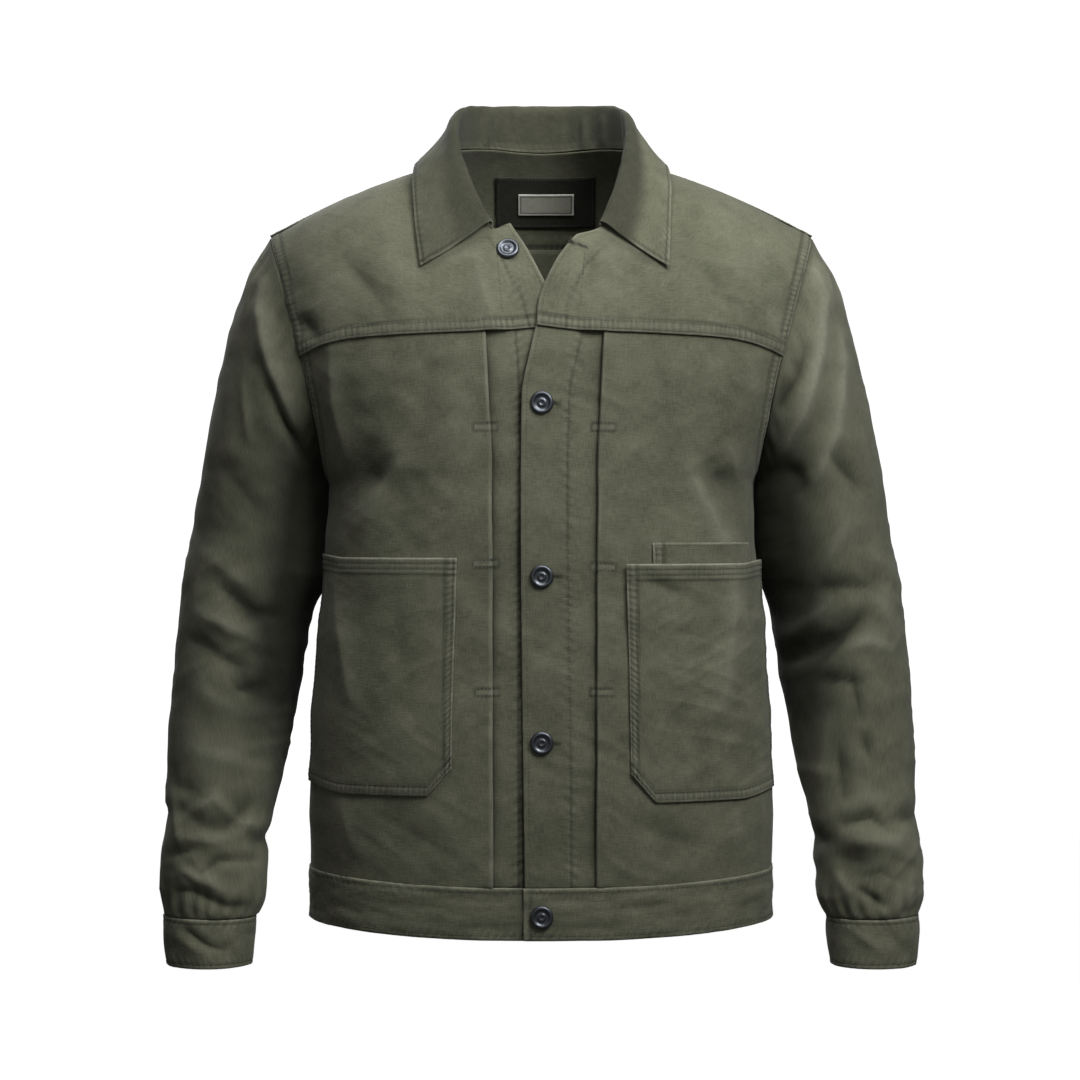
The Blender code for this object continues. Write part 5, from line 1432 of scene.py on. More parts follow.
def sleeve_cloth(name):
    """Sleeve: rings through an outer and an inner line, gathered to the armhole and the cuff."""
    side = FRONTS[name]["side"]
    angle = np.linspace(0.0, 2 * math.pi, SLEEVE_POINTS, endpoint=False)[None]
    along = np.linspace(0.0, 1.0, SLEEVE_ROWS + 1)[:, None]
    angle, along = np.broadcast_arrays(angle, along)
    points = sleeve_ring(SLEEVE, angle, along)
    start = sleeve_ring(SLEEVE, angle, 0.0 * along)
    at_head = (1.0 - ease(0.0, SLEEVE_FADE, along))[..., None]
    points = points + (sleeve_head(angle) - start) * at_head
    around = np.roll(points, -1, axis=1) - np.roll(points, 1, axis=1)
    outward = np.cross(around, np.gradient(points, axis=0))
    outward /= np.maximum(np.linalg.norm(outward, axis=-1, keepdims=True), 1e-12)
    # At the armpit the first ring is flat, so its way out comes from the next.
    outward[0, SLEEVE_POINTS // 2] = outward[1, SLEEVE_POINTS // 2]
    x, z = points[..., 0], points[..., 2]
    cut = Cut(points * [side, 1, 1], outward * [side, 1, 1], closed=True)
    ahead = ease(-0.20, 0.20, np.sin(angle))
    other = "right" if name == "left" else "left"
    relief = ahead * crease_field(x, z, CREASES["sleeve_" + name])
    relief = relief + 0.85 * (1 - ahead) * crease_field(x, z, CREASES["sleeve_" + other])
    seed = 91 if name == "right" else 95
    depth = points[..., 1]
    underarm = 0.85 * np.exp(-(((angle - math.pi) / 0.8) ** 2)) * ease(-0.40, -0.37, z)
    relief = relief * (1.0 - underarm)
    # The upper arm presses against the body
    press = np.exp(-(((angle - math.pi + 0.30) / 0.60) ** 2))
    end = -0.385 if name == "right" else -0.366
    relief = relief + PRESS * press * ease(end, end + 0.034, z) * ease(-0.262, -0.285, z)
    lower = ease(-0.26, -0.38, z)
    relief = relief + (0.35 + 0.65 * lower) * wrinkles(x + 0.5 * depth, z, seed + 4)
    relief = relief + 0.0010 * ripple(x + 0.7 * depth, z, 0.034, seed)
    relief = relief + 0.0005 * ripple(x - 0.8 * depth, z, 0.013, seed + 1)
    # Gathers into the cuff and folds that fan from the sleeve head
    low = ease(0.90, 0.985, along)
    relief = relief + low * 0.0011 * np.sin(angle * 19 + 2.5 * ripple(angle, along, 0.6, seed + 2))
    head = ease(0.13, 0.03, along)
    relief = relief + head * 0.0007 * np.sin(angle * 31 + 3.0 * ripple(angle, 0.0, 0.5, seed + 3))
    cut.crease(relief * ease(0.0, 0.035, along) * ease(1.0, 0.985, along))
    # Painted shade on the sleeve's inner front side, next to the body, from below the shoulder to the
    # forearm.
    hollow = ease(1.45, 0.45, np.abs(angle - math.pi + 0.35))
    cut.painted_shade_and_marks += 0.95 * hollow * ease(-0.54, -0.42, z) * ease(-0.12, -0.22, z)
    # Painted shade in the sleeve's crease troughs and painted highlight on its crease ridges.
    troughs = [line for line in CREASES["sleeve_" + name] if line[1] < 0]
    ridges = [line for line in CREASES["sleeve_" + name] if line[1] > 0]
    cut.painted_shade_and_marks += 85.0 * ahead * np.clip(-crease_field(x, z, troughs, 0.42), 0, 1)
    cut.fading_and_highlight += 55.0 * ahead * np.clip(crease_field(x, z, ridges, 0.45), 0, 1)
    # Painted shade: the middle of the sleeve a little darker, and darker at the armhole seam and at the
    # cuff.
    cut.painted_shade_and_marks += 0.20 * ease(-0.20, -0.30, z) * ease(-0.58, -0.48, z)
    cut.painted_shade_and_marks += 0.5 * np.exp(-((along / 0.006) ** 2)) + 0.4 * np.exp(-(((1 - along) / 0.006) ** 2))
    return cut


def cuff_cloth(name):
    """Cuff: a double band, stitched along both edges."""
    side = FRONTS[name]["side"]
    angle = np.linspace(0.0, 2 * math.pi, CUFF_POINTS, endpoint=False)[None]
    along = np.linspace(1.0, 0.0, CUFF_ROWS + 1)[:, None]
    angle, along = np.broadcast_arrays(angle, along)
    points = sleeve_ring(CUFF, angle, along)
    around = np.roll(points, -1, axis=1) - np.roll(points, 1, axis=1)
    outward = np.cross(around, -np.gradient(points, axis=0))
    outward /= np.linalg.norm(outward, axis=-1, keepdims=True)
    cut = Cut(points * [side, 1, 1], outward * [side, 1, 1], closed=True)
    x, z = points[..., 0], points[..., 2]
    relief = crease_field(x, z, CREASES["cuff_" + name]) * ease(-0.2, 0.2, np.sin(angle))
    seed = 101 if name == "right" else 105
    cut.crease(relief + 0.0007 * ripple(angle, along, 0.30, seed))
    for number, edge in enumerate(("bottom", "top"), 1):
        cut.stitched(edge, BAND_ROWS[edge], 0.0003, 0.00035, seed=seed + number)
        cut.stitch(edge, BAND_ROWS[edge], BAND)
    cut.edge_fade_and_highlight("bottom", 0.0018, 0.85)
    cut.edge_fade_and_highlight("top", 0.0016, 0.8)
    return cut


def waistband_cloth():
    """Waistband: one band round the body whose ends cross at the front, stitched all round."""
    stop = BAND_STOP - 2 * math.pi
    angle = np.linspace(BAND_START, stop, WAISTBAND_POINTS)[None]
    rows = np.linspace(0.0, 1.0, WAISTBAND_ROWS)[:, None]
    dip = FRONT_DIP * np.where(np.cos(angle) > 0, np.cos(angle) ** 2, 0.0)
    height = mix(HEM, WAIST_SEAM, rows) - dip
    over = ease(stop + BAND_REACH, stop, angle)
    under = ease(BAND_START - BAND_REACH, BAND_START, angle)
    lift = BAND_LAYER / 2 * (over - under) + BAND_PROUD
    width = np.abs(np.sin(angle)) * body_size("half_width", height)
    centre = np.where(np.cos(angle) > 0, 1.0 - ease(0.030, 0.062, width), 0.0)
    lift = lift - BAND_SET_BACK * LAYER * centre
    angle, height = np.broadcast_arrays(angle, height)
    points = lifted(torso, angle, height, lift)
    cut = Cut(points, out_of(torso, angle, height))
    cut.outward = cut.outward * np.sign((cut.outward[..., :2] * points[..., :2]).sum(-1).mean())
    # A band sewn double is a little uneven.
    cut.move(0.0008 * ripple(angle, rows, 0.20, 111) + 0.0003 * ripple(angle, rows, 0.06, 112))
    puckers = {"top": 0.00042, "bottom": 0.00042, "right": 0.0003}
    for number, (edge, pucker) in enumerate(puckers.items()):
        cut.stitched(edge, BAND_ROWS[edge], 0.0003, pucker, seed=113 + number)
    # The underlap is shaded beside the overlap's end.
    beside = points[0, -1, 0] - points[..., 0]
    under = (angle > BAND_START - 1.0) * (beside > -0.001)
    cut.painted_shade_and_marks += 0.9 * under * np.exp(-np.clip(beside, 0, 1) / 0.0035)
    cut.edge_fade_and_highlight("bottom", 0.0018, 0.85)
    cut.edge_fade_and_highlight("top", 0.0016, 0.7)
    cut.edge_fade_and_highlight("right", 0.0024, 1.5)
    for edge, inset in BAND_ROWS.items():
        cut.stitch(edge, inset, BAND)
    return cut


def pocket_cloth(name):
    """Patch pocket with a cut-off inner bottom corner, a wide top hem and two rows of stitches."""
    front = FRONTS[name]
    middle = (POCKET_TOP + POCKET_BOTTOM) / 2
    width = body_size("half_width", middle)
    cut_x = POCKET_INNER + POCKET_CUT_WIDTH
    ends = np.arcsin(np.array([POCKET_INNER, cut_x]) / width)
    first = np.linspace(ends[0], ends[1], 16)
    angle = np.concatenate([first[:-1], np.linspace(ends[1], POCKET_OUTER_ANGLE, 84)])[None]
    rows = np.linspace(0.0, 1.0, 136)[:, None]
    x = width * np.sin(angle)
    low = POCKET_BOTTOM + POCKET_CUT_HEIGHT * np.clip((cut_x - x) / POCKET_CUT_WIDTH, 0.0, 1.0)
    low = low + POCKET_SIDE_UP * ease(0.16, width, x)
    high = POCKET_TOP + POCKET_CORNER_UP * ease(0.17, width, x)
    height = mix(low, high, rows) + front["pocket_height"]
    across = np.sin(np.clip((x - POCKET_INNER) / 0.125, 0.0, 1.0) * math.pi)
    mouth = POCKET_MOUTH * ease(0.80, 1.0, rows) * across
    lift = LAYER + mouth + POCKET_FULLNESS * np.sin(rows * math.pi) * across
    if name == "left":
        over = ease(INNER_POCKET_BOTTOM - 0.030, INNER_POCKET_BOTTOM - 0.011, height)
        lift = lift + CLEAR + LAYER * over
    angle, height = np.broadcast_arrays(angle, height)
    points = lifted(torso, angle, height, lift)
    outward = out_of(torso, angle, height) * [front["side"], 1, 1]
    points[..., 0] *= front["side"]
    cut = Cut(points, outward)
    x = np.broadcast_to(x, height.shape)
    cut.crease(front_relief(name, body_size("half_width", height) * np.sin(angle), height))
    # Along the cut-off corner a row is further from the edge when measured straight up.
    steep = 1.0 / math.cos(math.atan2(POCKET_CUT_HEIGHT, POCKET_CUT_WIDTH))
    slope = np.where(x[0] < cut_x, steep, 1.0)
    seed = 121 if name == "right" else 131
    for number, edge in enumerate(("left", "right", "bottom")):
        cut.sewn(edge, 0.0088, 0.0003, 0.00024, seed=seed + number)
    cut.edge_fade_and_highlight("top", 0.0020, 0.95)
    cut.sewn("top", 0.0125, 0.0004, 0.00008, seed=seed + 3, rows=POCKET_HEM_ROWS)
    for edge, wide in (("left", 1.0), ("right", 1.0), ("bottom", slope)):
        for inset in POCKET_ROWS:
            cut.stitch(edge, inset * wide, CLOTH)
    for inset in POCKET_HEM_ROWS:
        cut.stitch("top", inset, CLOTH)
    return cut


def inner_pocket_cloth():
    """Top strip of an inner pocket, behind the patch pocket's mouth."""
    height = np.linspace(INNER_POCKET_BOTTOM, INNER_POCKET_TOP, 36)[:, None]
    width = body_size("half_width", INNER_POCKET_TOP)
    ends = np.arcsin(np.array([INNER_POCKET_INNER, INNER_POCKET_OUTER]) / width)
    angle, height = np.broadcast_arrays(np.linspace(*ends, 60)[None], height)
    lift = LAYER + CLEAR + 0.0 * angle
    cut = Cut(lifted(torso, angle, height, lift), out_of(torso, angle, height))
    cut.move(front_relief("left", body_size("half_width", height) * np.sin(angle), height))
    cut.edge_fade_and_highlight("top", 0.0018, 0.8)
    cut.edge_fade_and_highlight("left", 0.0016, 0.7)
    cut.sewn("left", 0.0090, 0.0003, 0.00026, seed=141, rows=INNER_POCKET_ROWS)
    rows = [("left", inset) for inset in INNER_POCKET_ROWS] + [("right", 0.0022), ("top", 0.0018)]
    for edge, inset in rows:
        cut.stitch(edge, inset, CLOTH)
    return cut


def patch_cloth(left, right, bottom, top, lift):
    """A rectangle sewn on the inside of the back yoke; its face looks to the front."""
    x = np.linspace(left, right, 56)[None] + np.zeros((30, 1))
    height = np.linspace(bottom, top, 30)[:, None] + 0.0 * x
    turn = turn_at_height(x, height, True)
    points = lifted(shoulder, x, turn, lift + 0.0 * x)
    return Cut(points, -out_of(shoulder, x, turn))


def collar_cloth():
    """Collar: rises from the neck edge, rolls over and falls to its outer edge."""
    grid = collar_grid()
    grid = finer(grid, grid, [0, len(grid) - 1], 0.0016)
    turned = grid.swapaxes(0, 1)
    grid = finer(turned, turned, [0, len(turned) - 1], 0.0021).swapaxes(0, 1)
    # The way out is up on the leaf, near the collar's outer edge.
    normal = grid_normals(grid)
    cut = Cut(grid, normal * np.sign(normal[-20:-4, :, 2].mean()))
    away, along = cut.from_edge("top")
    inner, _ = cut.from_edge("bottom")
    total = along.max()
    leaf_part = ease(0.030, 0.050, inner)
    uneven = 0.0010 * ripple(along, away, 0.030, 151) + 0.0004 * ripple(along, away, 0.012, 152)
    cut.move(leaf_part * uneven)
    stand = (1 - leaf_part) * ease(0.0, 0.008, inner)
    cut.move(stand * 0.0009 * ripple(along, inner * 0.25, 0.012, 153))
    for place, height in COLLAR_FOLDS:
        bump = np.exp(-(((along / total - place) / 0.011) ** 2))
        cut.move(height * bump * stand * ease(0.034, 0.024, inner))
    cut.stitched("top", COLLAR_ROW, 0.0004, 0.00045, seed=154)
    cut.edge_fade_and_highlight("top", 0.0016, 1.0)
    # Painted shade on the collar stand, and on the leaf on the wearer's right, which faces away from the
    # light.
    cut.painted_shade_and_marks += 0.72 * stand + 0.45 * leaf_part * ease(-0.03, -0.06, grid[..., 0])
    on_leaf = ease(0.035, 0.045, inner)
    for edge in ("left", "right"):
        cut.stitched(edge, COLLAR_ROW, 0.0003, 0.00030, seed=155, only=on_leaf)
        cut.edge_fade_and_highlight(edge, 0.0016, 1.0)
        cut.stitch(edge, COLLAR_ROW, CLOTH, start=0.030)
    cut.stitched("bottom", NECK_ROW, 0.0002, 0.0002, seed=156)
    cut.stitch("top", COLLAR_ROW, CLOTH)
    cut.stitch("bottom", NECK_ROW, CLOTH)
    return cut


def turned_button(profile, sides, place, outward):
    """A profile of radius and height turned about the button's own axis, then set in place."""
    profile = np.array(profile)
    angle = np.linspace(0.0, 2 * math.pi, sides, endpoint=False)
    ring = np.stack([np.cos(angle), np.sin(angle)], axis=-1)
    rings = profile[1:-1]
    flat = rings[:, None, :1] * ring[None]
    heights = np.broadcast_to(rings[:, None, 1:], flat.shape[:2] + (1,))
    body = np.concatenate([flat, heights], axis=-1)
    points = np.concatenate([body.reshape(-1, 3), [[0, 0, profile[0, 1]], [0, 0, profile[-1, 1]]]])
    index, quads = grid_faces(len(rings), sides, True)
    quads = quads[:, [0, 3, 2, 1]]
    first, last = len(points) - 2, len(points) - 1
    cap = np.stack([index[0, :-1], index[0, 1:], np.full(sides, first)], -1)
    foot = np.stack([index[-1, 1:], index[-1, :-1], np.full(sides, last)], -1)
    triangles = np.concatenate([quads[:, [0, 1, 2]], quads[:, [0, 2, 3]], cap, foot])
    turn = np.array(Vector(outward).to_track_quat("Z", "Y").to_matrix())
    return points @ turn.T + place, triangles


def button_places():
    """Each front button's seat on the cloth, and the way it faces."""
    places = []
    for number, height in enumerate(BUTTON_HEIGHTS):
        if number == 0:
            x = np.array([-TOP_BUTTON_X])
            turn = turn_at_height(x, np.array([height]), False)
            lift = float(front_yoke_lift(x, height, FRONTS["right"], -1.0)[0])
            lift += CLOTH / 2 + TOP_BUTTON_CLEAR
            surface, first, second, flip = shoulder, x, turn, -1.0
        else:
            x = np.array([BUTTON_X])
            first = np.arcsin(x / body_size("half_width", height))
            second, surface, flip = np.array([height]), torso, 1.0
            lift = -LAYER + CLOTH / 2
            if height < WAIST_SEAM:
                lift = BAND_PROUD - BAND_SET_BACK * LAYER + (BAND_LAYER + BAND) / 2
        seat = lifted(surface, first, second, lift + 0.0005)[0]
        ahead = lifted(surface, first, second, lift + 0.0015)[0] - seat
        turn_side = np.array([flip, 1.0, 1.0])
        places.append((seat * turn_side + [BODY_SHIFT, 0, 0], ahead * turn_side))
    return places


def cuff_button_place(side):
    """On the hidden back of the cuff, towards its outer side."""
    angle, along = np.array([CUFF_BUTTON_ANGLE]), np.array([0.5])
    seat = sleeve_ring(CUFF, angle, along)[0]
    around = sleeve_ring(CUFF, angle + 0.01, along)[0] - seat
    outward = np.cross(around, [0.0, 0.0, -1.0])
    outward /= np.linalg.norm(outward)
    seat = seat + outward * (BAND / 2 + 0.0008)
    return seat * [side, 1, 1] + [BODY_SHIFT, 0, 0], outward * [side, 1, 1]


# Finishes


def node(tree, kind, **inputs):
    """A new shader node with values set on its inputs."""
    made = tree.nodes.new(kind)
    for name, value in inputs.items():
        made.inputs[name.replace("_", " ")].default_value = value
    return made


def mixed(tree, blend, factor, first, second):
    """A colour mix; each of its three inputs is a socket or a value."""
    made = tree.nodes.new("ShaderNodeMix")
    made.data_type, made.blend_type = "RGBA", blend
    for socket, value in zip([made.inputs[i] for i in (0, 6, 7)], (factor, first, second)):
        if isinstance(value, bpy.types.NodeSocket):
            tree.links.new(value, socket)
        else:
            socket.default_value = value
    return made.outputs[2]


def maths(tree, operation, first, second):
    """A sum, difference or product; each input is a socket or a value."""
    made = tree.nodes.new("ShaderNodeMath")
    made.operation = operation
    for socket, value in zip(made.inputs, (first, second)):
        if isinstance(value, bpy.types.NodeSocket):
            tree.links.new(value, socket)
        else:
            socket.default_value = value
    return made.outputs[0]


def noise(tree, place, scale, detail, stretch=(1, 1, 1), turn=0.0):
    """Cloudy unevenness, stretched and turned as given."""
    mapping = tree.nodes.new("ShaderNodeMapping")
    mapping.inputs["Scale"].default_value = stretch
    mapping.inputs["Rotation"].default_value = (0, 0, turn)
    tree.links.new(place, mapping.inputs["Vector"])
    made = node(tree, "ShaderNodeTexNoise", Scale=scale, Detail=detail, Roughness=0.55)
    tree.links.new(mapping.outputs[0], made.inputs["Vector"])
    return made.outputs[0]


def woven(name, dark, light, faded_and_lit, shaded, sheen=0.10, weave=0.00022):
    """Washed cotton: mottled colour, lighter where faded and where highlight is painted, darker where
    shade is painted in seams, creases and shadows, a fine weave.
    """
    made = bpy.data.materials.new(name)
    made.use_nodes = True
    tree = made.node_tree
    shader = tree.nodes["Principled BSDF"]
    place = tree.nodes.new("ShaderNodeTexCoord").outputs["Object"]
    flat = tree.nodes.new("ShaderNodeUVMap")
    flat.uv_map = "cloth"
    flat = flat.outputs[0]
    broad = noise(tree, place, 22.0, 4.0)
    fine = noise(tree, flat, 420.0, 3.0, (1.0, 2.2, 1.0), 0.8)
    mottle = maths(tree, "ADD", maths(tree, "MULTIPLY", broad, 0.75),
                   maths(tree, "MULTIPLY", fine, 0.20))
    warp = noise(tree, flat, 1.0, 2.0, (1000.0, 130.0, 1.0))
    weft = noise(tree, flat, 1.0, 2.0, (120.0, 900.0, 1.0))
    slub = maths(tree, "ADD", maths(tree, "MULTIPLY", warp, 1.1), maths(tree, "MULTIPLY", weft, 1.1))
    patches = maths(tree, "MULTIPLY", noise(tree, place, 55.0, 3.0), 0.9)
    mottle = maths(tree, "ADD", maths(tree, "ADD", mottle, slub), patches)
    mottle = maths(tree, "SUBTRACT", mottle, 1.50)
    colour = mixed(tree, "MIX", mottle, dark, light)
    # Fading and painted highlight lighten the colour.
    fading_and_highlight = tree.nodes.new("ShaderNodeAttribute")
    fading_and_highlight.attribute_name = "fading_and_highlight"
    patchy = maths(tree, "ADD", noise(tree, place, 260.0, 3.0), 0.35)
    patchy = maths(tree, "MULTIPLY", patchy, fading_and_highlight.outputs["Fac"])
    colour = mixed(tree, "MIX", patchy, colour, faded_and_lit)
    # Painted shade and a few dark marks darken it.
    painted_shade_and_marks = tree.nodes.new("ShaderNodeAttribute")
    painted_shade_and_marks.attribute_name = "painted_shade_and_marks"
    colour = mixed(tree, "MULTIPLY", painted_shade_and_marks.outputs["Fac"], colour, shaded)
    tree.links.new(colour, shader.inputs["Base Color"])
    shader.inputs["Roughness"].default_value = 0.92
    shader.inputs["Specular IOR Level"].default_value = 0.25
    shader.inputs["Sheen Weight"].default_value = sheen
    shader.inputs["Sheen Roughness"].default_value = 0.45
    twill = noise(tree, flat, 700.0, 1.0, (1.0, 3.0, 1.0), 1.05)
    nap = noise(tree, place, 900.0, 2.0)
    height = maths(tree, "ADD", twill, maths(tree, "MULTIPLY", nap, 0.6))
    height = maths(tree, "ADD", height, maths(tree, "MULTIPLY", slub, 1.2))
    bump = node(tree, "ShaderNodeBump", Strength=0.55, Distance=weave)
    tree.links.new(height, bump.inputs["Height"])
    tree.links.new(bump.outputs[0], shader.inputs["Normal"])
    return made


def plain(name, colour, roughness, metallic=0.0, speckle=0.0, grain=500.0):
    """A plain finish with a little unevenness of tone."""
    made = bpy.data.materials.new(name)
    made.use_nodes = True
    tree = made.node_tree
    shader = tree.nodes["Principled BSDF"]
    place = tree.nodes.new("ShaderNodeTexCoord").outputs["Object"]
    low = [c * (1 - speckle) for c in colour[:3]] + [1.0]
    high = [c * (1 + speckle) for c in colour[:3]] + [1.0]
    tone = mixed(tree, "MIX", noise(tree, place, grain, 3.0), low, high)
    tree.links.new(tone, shader.inputs["Base Color"])
    shader.inputs["Roughness"].default_value = roughness
    shader.inputs["Metallic"].default_value = metallic
    return made


def finishes():
    """The finishes by name, made on first use."""
    known = bpy.data.materials
    if "Olive canvas" not in known:
        woven("Olive canvas", OLIVE_DARK, OLIVE_LIGHT, OLIVE_FADED_AND_LIT, SEAM_SHADE)
        woven("Neck patch canvas", PATCH_DARK, PATCH_LIGHT, OLIVE_FADED_AND_LIT, SEAM_SHADE, sheen=0.1)
        woven("Label tape", LABEL_DARK, LABEL_LIGHT, LABEL_EDGE, SEAM_SHADE, sheen=0.1, weave=0.0001)
        plain("Olive thread", THREAD, 0.8, speckle=0.15)
        plain("Dark gunmetal", GUNMETAL, 0.36, metallic=0.9, speckle=0.12)
        paper = plain("Pale paper", PAPER, 0.9, speckle=0.01, grain=3.0)
        glow = paper.node_tree.nodes["Principled BSDF"].inputs
        glow["Emission Color"].default_value = (1.0, 1.0, 1.0, 1.0)
        glow["Emission Strength"].default_value = 1.0
    return {
        "canvas": known["Olive canvas"],
        "patch": known["Neck patch canvas"],
        "label": known["Label tape"],
        "thread": known["Olive thread"],
        "metal": known["Dark gunmetal"],
        "paper": known["Pale paper"],
    }


# Settings


class ThreadSettings(bpy.types.PropertyGroup):
    """Sewing thread"""

    length: bpy.props.FloatProperty(
        name="Stitch length", description="Length of each stitch", default=0.0022, min=0.0005,
        subtype="DISTANCE", unit="LENGTH")
    gap: bpy.props.FloatProperty(
        name="Gap", description="Cloth between two stitches", default=0.0009, min=0.0,
        subtype="DISTANCE", unit="LENGTH")
    thickness: bpy.props.FloatProperty(
        name="Thread", description="Thickness of the thread", default=0.0009, min=0.0001,
        subtype="DISTANCE", unit="LENGTH")


class ButtonSettings(bpy.types.PropertyGroup):
    """Tack buttons"""

    sides: bpy.props.IntProperty(
        name="Sides", description="Facets round each button", default=48, min=12, max=96)


class StageSettings(bpy.types.PropertyGroup):
    """Camera and lights"""

    distance: bpy.props.FloatProperty(
        name="Camera distance", description="From the camera to the middle of the garment",
        default=2.6, min=0.5, subtype="DISTANCE", unit="LENGTH")
    view_width: bpy.props.FloatProperty(
        name="View width", description="Width of what the camera sees at the garment",
        default=0.9342, min=0.1, subtype="DISTANCE", unit="LENGTH")
    key: bpy.props.FloatProperty(
        name="Main light", description="Power of the soft light from above on the right",
        default=25.5, min=0.0, subtype="POWER", unit="POWER")
    fill: bpy.props.FloatProperty(
        name="Fill light", description="Power of the weak light from the left",
        default=3.6, min=0.0, subtype="POWER", unit="POWER")
    world: bpy.props.FloatProperty(
        name="Room light", description="Strength of the even light all round", default=0.06, min=0.0)


# Operators


def made_all(made):
    """Ends an operator, or raises an error where a piece came out empty."""
    if any(len(piece.data.polygons) == 0 for piece in made):
        raise RuntimeError("a piece has no faces")
    return {"FINISHED"}


def canvas(node_name, cut, wall=CLOTH, **how):
    """Puts a piece of olive canvas in the scene."""
    return put(node_name, cut, wall, finishes()["canvas"], **how)


class OVERSHIRT_OT_fronts(bpy.types.Operator):
    """Builds both fronts with their pleats, bars, buttonholes and stitching"""

    bl_idname = "overshirt.fronts"
    bl_label = "Fronts"

    def execute(self, context):
        return made_all([canvas("front_panel_" + name, front_cloth(name)) for name in FRONTS])


class OVERSHIRT_OT_front_yokes(bpy.types.Operator):
    """Builds both front yokes"""

    bl_idname = "overshirt.front_yokes"
    bl_label = "Front yokes"

    def execute(self, context):
        made = [canvas("front_yoke_" + name, yoke_cloth(name), follow=False) for name in FRONTS]
        return made_all(made)


class OVERSHIRT_OT_back(bpy.types.Operator):
    """Builds the back and the back yoke"""

    bl_idname = "overshirt.back"
    bl_label = "Back"

    def execute(self, context):
        return made_all([canvas("back_panel", back_cloth()),
                         canvas("back_yoke", back_yoke_cloth(), follow=False)])


class OVERSHIRT_OT_sleeves(bpy.types.Operator):
    """Builds both creased sleeves"""

    bl_idname = "overshirt.sleeves"
    bl_label = "Sleeves"

    def execute(self, context):
        return made_all([canvas("sleeve_" + name, sleeve_cloth(name)) for name in FRONTS])


class OVERSHIRT_OT_bands(bpy.types.Operator):
    """Builds the cuffs and the waistband"""

    bl_idname = "overshirt.bands"
    bl_label = "Cuffs and waistband"

    def execute(self, context):
        made = [canvas("cuff_" + name, cuff_cloth(name), BAND) for name in FRONTS]
        return made_all(made + [canvas("waistband", waistband_cloth(), BAND, follow=False)])


class OVERSHIRT_OT_pockets(bpy.types.Operator):
    """Builds the patch pockets and the strip of the inner pocket"""

    bl_idname = "overshirt.pockets"
    bl_label = "Pockets"

    def execute(self, context):
        made = [canvas("pocket_" + name, pocket_cloth(name), follow=False) for name in FRONTS]
        return made_all(made + [canvas("inner_pocket_left", inner_pocket_cloth(), follow=False)])


class OVERSHIRT_OT_collar(bpy.types.Operator):
    """Builds the collar"""

    bl_idname = "overshirt.collar"
    bl_label = "Collar"

    def execute(self, context):
        return made_all([canvas("collar", collar_cloth())])


class OVERSHIRT_OT_neck(bpy.types.Operator):
    """Builds the neck patch and its bare, bordered label"""

    bl_idname = "overshirt.neck"
    bl_label = "Neck patch and label"

    def execute(self, context):
        patch = patch_cloth(PATCH_LEFT, PATCH_RIGHT, PATCH_BOTTOM, PATCH_TOP, PATCH_LIFT)
        patch.edge_fade_and_highlight("top", 0.0010, 0.25)
        for edge in EDGES:
            patch.stitch(edge, PATCH_ROW, PATCH)
        made = [put("neck_patch", patch, PATCH, finishes()["patch"], held="laid", follow=False)]
        label = patch_cloth(LABEL_LEFT, LABEL_RIGHT, LABEL_BOTTOM, LABEL_TOP, LABEL_LIFT)
        away = np.stack([label.from_edge(edge)[0] for edge in EDGES])
        label.fading_and_highlight += (0.9 * np.exp(-((away / 0.0010) ** 2))).sum(axis=0)
        # The label's border is a thin dark line a little inside its edge.
        label.painted_shade_and_marks += np.exp(-(((away.min(axis=0) - 0.0019) / 0.0005) ** 2))
        made.append(put("neck_label", label, PATCH, finishes()["label"], held="laid",
                        follow=False, slot="label_tape"))
        return made_all(made)


class OVERSHIRT_OT_buttons(bpy.types.Operator):
    """Builds the tack buttons down the front and on the cuffs"""

    bl_idname = "overshirt.buttons"
    bl_label = "Buttons"

    def execute(self, context):
        sides = context.scene.overshirt_buttons.sides
        places = {"button_%d" % (i + 1): place for i, place in enumerate(button_places())}
        for name, front in FRONTS.items():
            places["cuff_button_" + name] = cuff_button_place(front["side"])
        made = []
        for name, (place, outward) in places.items():
            points, faces = turned_button(BUTTON_PROFILE, sides, place, outward)
            button = mesh_object(name + "_metal", points, faces, finishes()["metal"])
            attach(button, "root")
            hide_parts(name)
            made.append(button)
        return made_all(made)


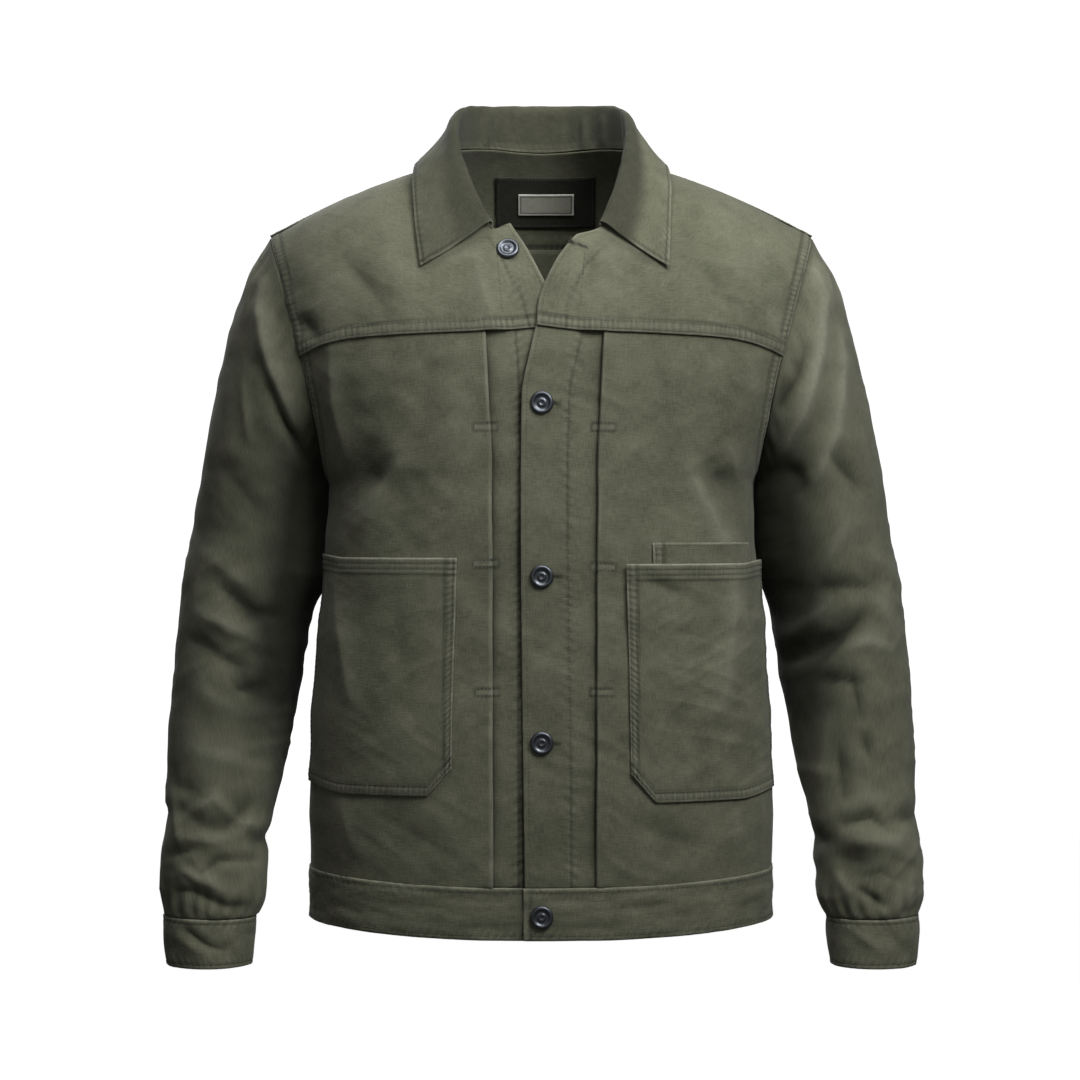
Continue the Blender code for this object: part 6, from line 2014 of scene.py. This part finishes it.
class OVERSHIRT_OT_stage(bpy.types.Operator):
    """Sets up the pale room round the garment, the lights and the camera"""

    bl_idname = "overshirt.stage"
    bl_label = "Stage"

    def execute(self, context):
        scene, settings = context.scene, context.scene.overshirt_stage
        # The room: a flat floor that bends up into a round wall and closes overhead
        turn = np.linspace(0.0, math.pi / 2, 12)
        flat, bent = ROOM_RADIUS - ROOM_BEND, FLOOR + ROOM_BEND - ROOM_BEND * np.cos(turn)
        radius = [[ROOM_MIDDLE, flat], flat + ROOM_BEND * np.sin(turn), [ROOM_RADIUS, flat, ROOM_MIDDLE]]
        height = [[FLOOR, FLOOR], bent, [ROOM_TOP - ROOM_BEND, ROOM_TOP, ROOM_TOP]]
        radius, height = np.concatenate(radius)[:, None], np.concatenate(height)[:, None]
        angle = np.linspace(0.0, 2 * math.pi, 64, endpoint=False)
        points = [radius * np.cos(angle), radius * np.sin(angle), height + 0.0 * angle]
        points = np.stack(points, axis=-1)
        _, faces = grid_faces(*points.shape[:2], True)
        room = mesh_object("paper_sweep", points.reshape(-1, 3), faces, finishes()["paper"])
        room.visible_diffuse = room.visible_glossy = room.visible_shadow = False
        room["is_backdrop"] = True
        powers = {
            "main_light": settings.key, "top_light": settings.key * TOP_LIGHT_SHARE,
            "fill_light": settings.fill, "back_light": settings.key * BACK_LIGHT_SHARE,
        }
        for name, (size, place) in LIGHTS.items():
            lamp = bpy.data.lights.new(name, "AREA")
            lamp.energy, lamp.size = powers[name], size
            made = bpy.data.objects.new(name, lamp)
            made.location = place
            made.visible_camera = False
            aim = Vector(LIT_PLACE) - Vector(place)
            made.rotation_euler = aim.to_track_quat("-Z", "Y").to_euler()
            scene.collection.objects.link(made)
        scene.world = bpy.data.worlds.new("room")
        scene.world.use_nodes = True
        background = scene.world.node_tree.nodes["Background"]
        background.inputs["Color"].default_value = (1.0, 1.0, 1.0, 1.0)
        background.inputs["Strength"].default_value = settings.world
        lens = bpy.data.cameras.new("camera")
        lens.sensor_width = 36.0
        lens.lens = 36.0 * settings.distance / settings.view_width
        camera = bpy.data.objects.new("camera", lens)
        camera.location = (0.0, -settings.distance, CAMERA_HEIGHT)
        camera.rotation_euler = (math.pi / 2, 0.0, 0.0)
        scene.collection.objects.link(camera)
        scene.camera = camera
        scene.view_settings.view_transform = "Standard"
        if scene.camera is None:
            raise RuntimeError("the scene has no camera")
        return {"FINISHED"}


OPERATORS = (
    OVERSHIRT_OT_fronts, OVERSHIRT_OT_front_yokes, OVERSHIRT_OT_back, OVERSHIRT_OT_sleeves,
    OVERSHIRT_OT_bands, OVERSHIRT_OT_pockets, OVERSHIRT_OT_collar, OVERSHIRT_OT_neck,
    OVERSHIRT_OT_buttons, OVERSHIRT_OT_stage,
)
SETTINGS = {
    "overshirt_thread": ThreadSettings,
    "overshirt_buttons": ButtonSettings,
    "overshirt_stage": StageSettings,
}


class OVERSHIRT_PT_sidebar(bpy.types.Panel):
    """Lists the garment's settings and pieces"""

    bl_idname = "OVERSHIRT_PT_sidebar"
    bl_label = "Overshirt"
    bl_space_type = "VIEW_3D"
    bl_region_type = "UI"
    bl_category = "Overshirt"

    def draw(self, context):
        for name, kind in SETTINGS.items():
            box = self.layout.box()
            for field in kind.__annotations__:
                box.prop(getattr(context.scene, name), field)
        for operator in OPERATORS:
            self.layout.operator(operator.bl_idname)


def register():
    """Registers the classes and puts the settings on the scene."""
    for kind in (*SETTINGS.values(), *OPERATORS, OVERSHIRT_PT_sidebar):
        bpy.utils.register_class(kind)
    for name, kind in SETTINGS.items():
        setattr(bpy.types.Scene, name, bpy.props.PointerProperty(type=kind))


def unregister():
    """Takes the settings and the classes away again."""
    for name in SETTINGS:
        delattr(bpy.types.Scene, name)
    for kind in reversed((*SETTINGS.values(), *OPERATORS, OVERSHIRT_PT_sidebar)):
        bpy.utils.unregister_class(kind)


def corners():
    """The garment's bounds as plain lists of numbers."""
    return [[float(value) for value in corner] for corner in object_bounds()]


def main():
    """Builds every piece and the stage."""
    register()
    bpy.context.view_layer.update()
    bpy.ops.overshirt.fronts()
    bpy.ops.overshirt.front_yokes()
    bpy.ops.overshirt.back()
    bpy.ops.overshirt.sleeves()
    bpy.ops.overshirt.bands()
    bpy.ops.overshirt.pockets()
    bpy.ops.overshirt.collar()
    bpy.ops.overshirt.neck()
    bpy.ops.overshirt.buttons()
    bpy.ops.overshirt.stage()


if __name__ == "__main__":
    main()
